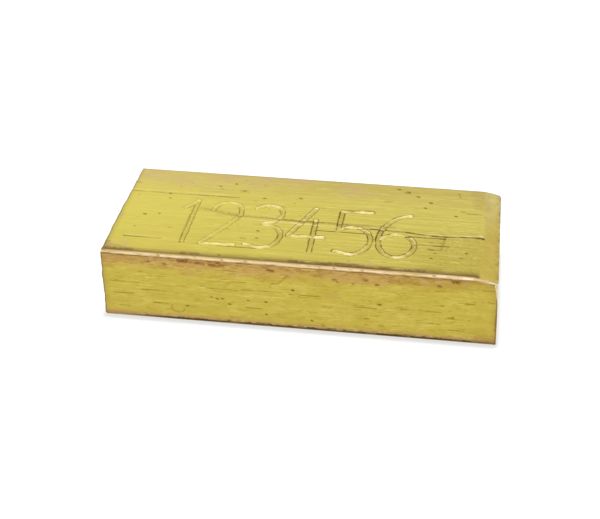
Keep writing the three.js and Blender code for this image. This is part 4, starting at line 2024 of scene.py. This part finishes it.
def stains() -> list[Mark]:
    """Gives the brown spots under the bevel, on it and beside it.

    Returns:
        One mark for each spot.
    """
    under_bevel = (
        (20.2, 22.3, 1.1, 0.7), (12.0, 12.6, 2.0, 0.45), (16.2, 17.0, 2.4, 0.4), (29.8, 30.4, 0.9, 0.6),
        (42.8, 44.0, 2.0, 0.5), (66.5, 67.5, 2.6, 0.5), (60.0, 60.2, 3.7, 0.5), (63.9, 64.2, 4.0, 0.4),
        (69.5, 70.2, 3.8, 0.4), (84.8, 85.4, 2.8, 0.5), (88.6, 89.6, 1.1, 0.8), (4.5, 6.0, 0.6, 0.4),
        (23.2, 26.4, 1.4, 0.45), (28.0, 31.6, 1.7, 0.4), (59.0, 59.6, 3.3, 0.4), (67.0, 67.4, 2.7, 0.5),
    )
    from_back = 42.3
    beside_bevel = ((0.5, 7.5), (20.8, 24.5), (48.0, 51.0), (55.0, 68.0), (70.5, 73.0), (77.0, 81.0))
    patches = (
        (93.6, 2.0, 94.4, 9.0, 2.6, 0.17), (91.6, 42.9, 94.4, 42.9, 0.4, 1.0),
        (57.5, 42.1, 64.5, 42.2, 1.1, 0.8), (1.2, 8.2, 1.8, 8.3, 0.8, 0.3),
        (30.2, 9.3, 31.4, 9.3, 1.0, 0.3), (1.0, 41.0, 5.4, 41.8, 1.2, 0.28),
        (0.2, 39.5, 0.4, 42.4, 1.4, 0.4),
    )
    at_end = ((96.5, 18.4, 99.6, 17.8, 2.6, 0.2), (99.7, 9.8, 99.5, 14.6, 0.5, 0.8))
    band = ((21.0, 19.6), (27.8, 21.3), (32.3, 22.0), (38.9, 22.2), (50.8, 22.8), (59.6, 22.8), (72.0, 22.6))
    breaks = [(x, 43.9, x + 0.4, 44.1) for x in (14.8, 31.0, 36.9, 59.0, 66.0, 83.5)]
    on_roll = (
        (98.1, 20.9), (99.4, 24.5), (96.3, 34.9), (98.3, 39.6), (97.7, 40.8), (98.3, 18.3), (95.4, 13.9),
    )
    return [
        *level(under_bevel, "reach", Side.FRONT),
        *level([(x0, x1, from_back) for x0, x1 in beside_bevel], reach=0.9, stain=0.8),
        *straight(patches, "reach stain"),
        *straight(at_end, "reach stain", Side.FRONT),
        *curved([(band, (0.9, 0.0, 0.0, 0.36))]),
        *straight(breaks, reach=0.4, stain=0.8),
        *straight([(x, y, x + 0.3, y + 0.2) for x, y in on_roll], reach=0.32, stain=0.8),
    ]


def blushes() -> list[Mark]:
    """Gives the soft pinkish patches on the top and under the bevel.

    Returns:
        One mark for each patch.
    """
    on_top = (
        (4.5, 8.0, 2.0, 1.6), (21.5, 24.5, 3.0, 3.4), (34.0, 49.0, 1.4, 1.8), (91.8, 92.4, 2.5, 1.2),
        (92.2, 92.8, 6.5, 1.2), (92.4, 93.2, 11.5, 1.2), (0.5, 5.0, 40.4, 2.8), (61.0, 68.0, 41.2, 1.4),
        (0.6, 1.0, 26.0, 1.4),
    )
    under_bevel = (
        (0.5, 13.0, 1.5, 1.6), (14.0, 25.0, 2.0, 1.6), (36.0, 46.0, 2.4, 1.6), (57.0, 71.0, 2.4, 2.2),
        (82.0, 92.0, 1.8, 1.2), (21.0, 24.0, 4.4, 1.2), (95.0, 99.6, 18.2, 1.8), (99.2, 99.6, 12.0, 1.6),
        (0.3, 0.8, 18.0, 1.8), (57.8, 59.8, 7.8, 1.6),
    )
    return [*level(on_top, "reach"), *level(under_bevel, "reach", Side.FRONT)]


def main() -> None:
    """Builds the bar, its finishes and the studio."""
    logging.basicConfig(level=logging.INFO, format="%(name)s %(message)s")
    for build_group in (cut_marks_group, drawing_lines_group, dashes_group, pitting_group, tarnish_group):
        build_group()
    bar = FlatBar()
    finishes = (DrawnBrass(), BurnishedBevelPaintedHighlight(), SawnBrass())
    marks = {
        "Blushes": blushes(),
        "Stains": stains(),
        "Scores": [*scores(), *front_scars()],
        "Rubs": highlight_lines(),
        "Numerals": bar.numerals.strokes(),
        "Dints": dints(),
    }
    piece = bar.build(marks, {name: finish.build(bar) for name, finish in zip(FINISH_INPUTS, finishes)})
    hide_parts(NODE)
    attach(piece, BODY)
    Studio().build(bar)


if __name__ == "__main__":
    main()
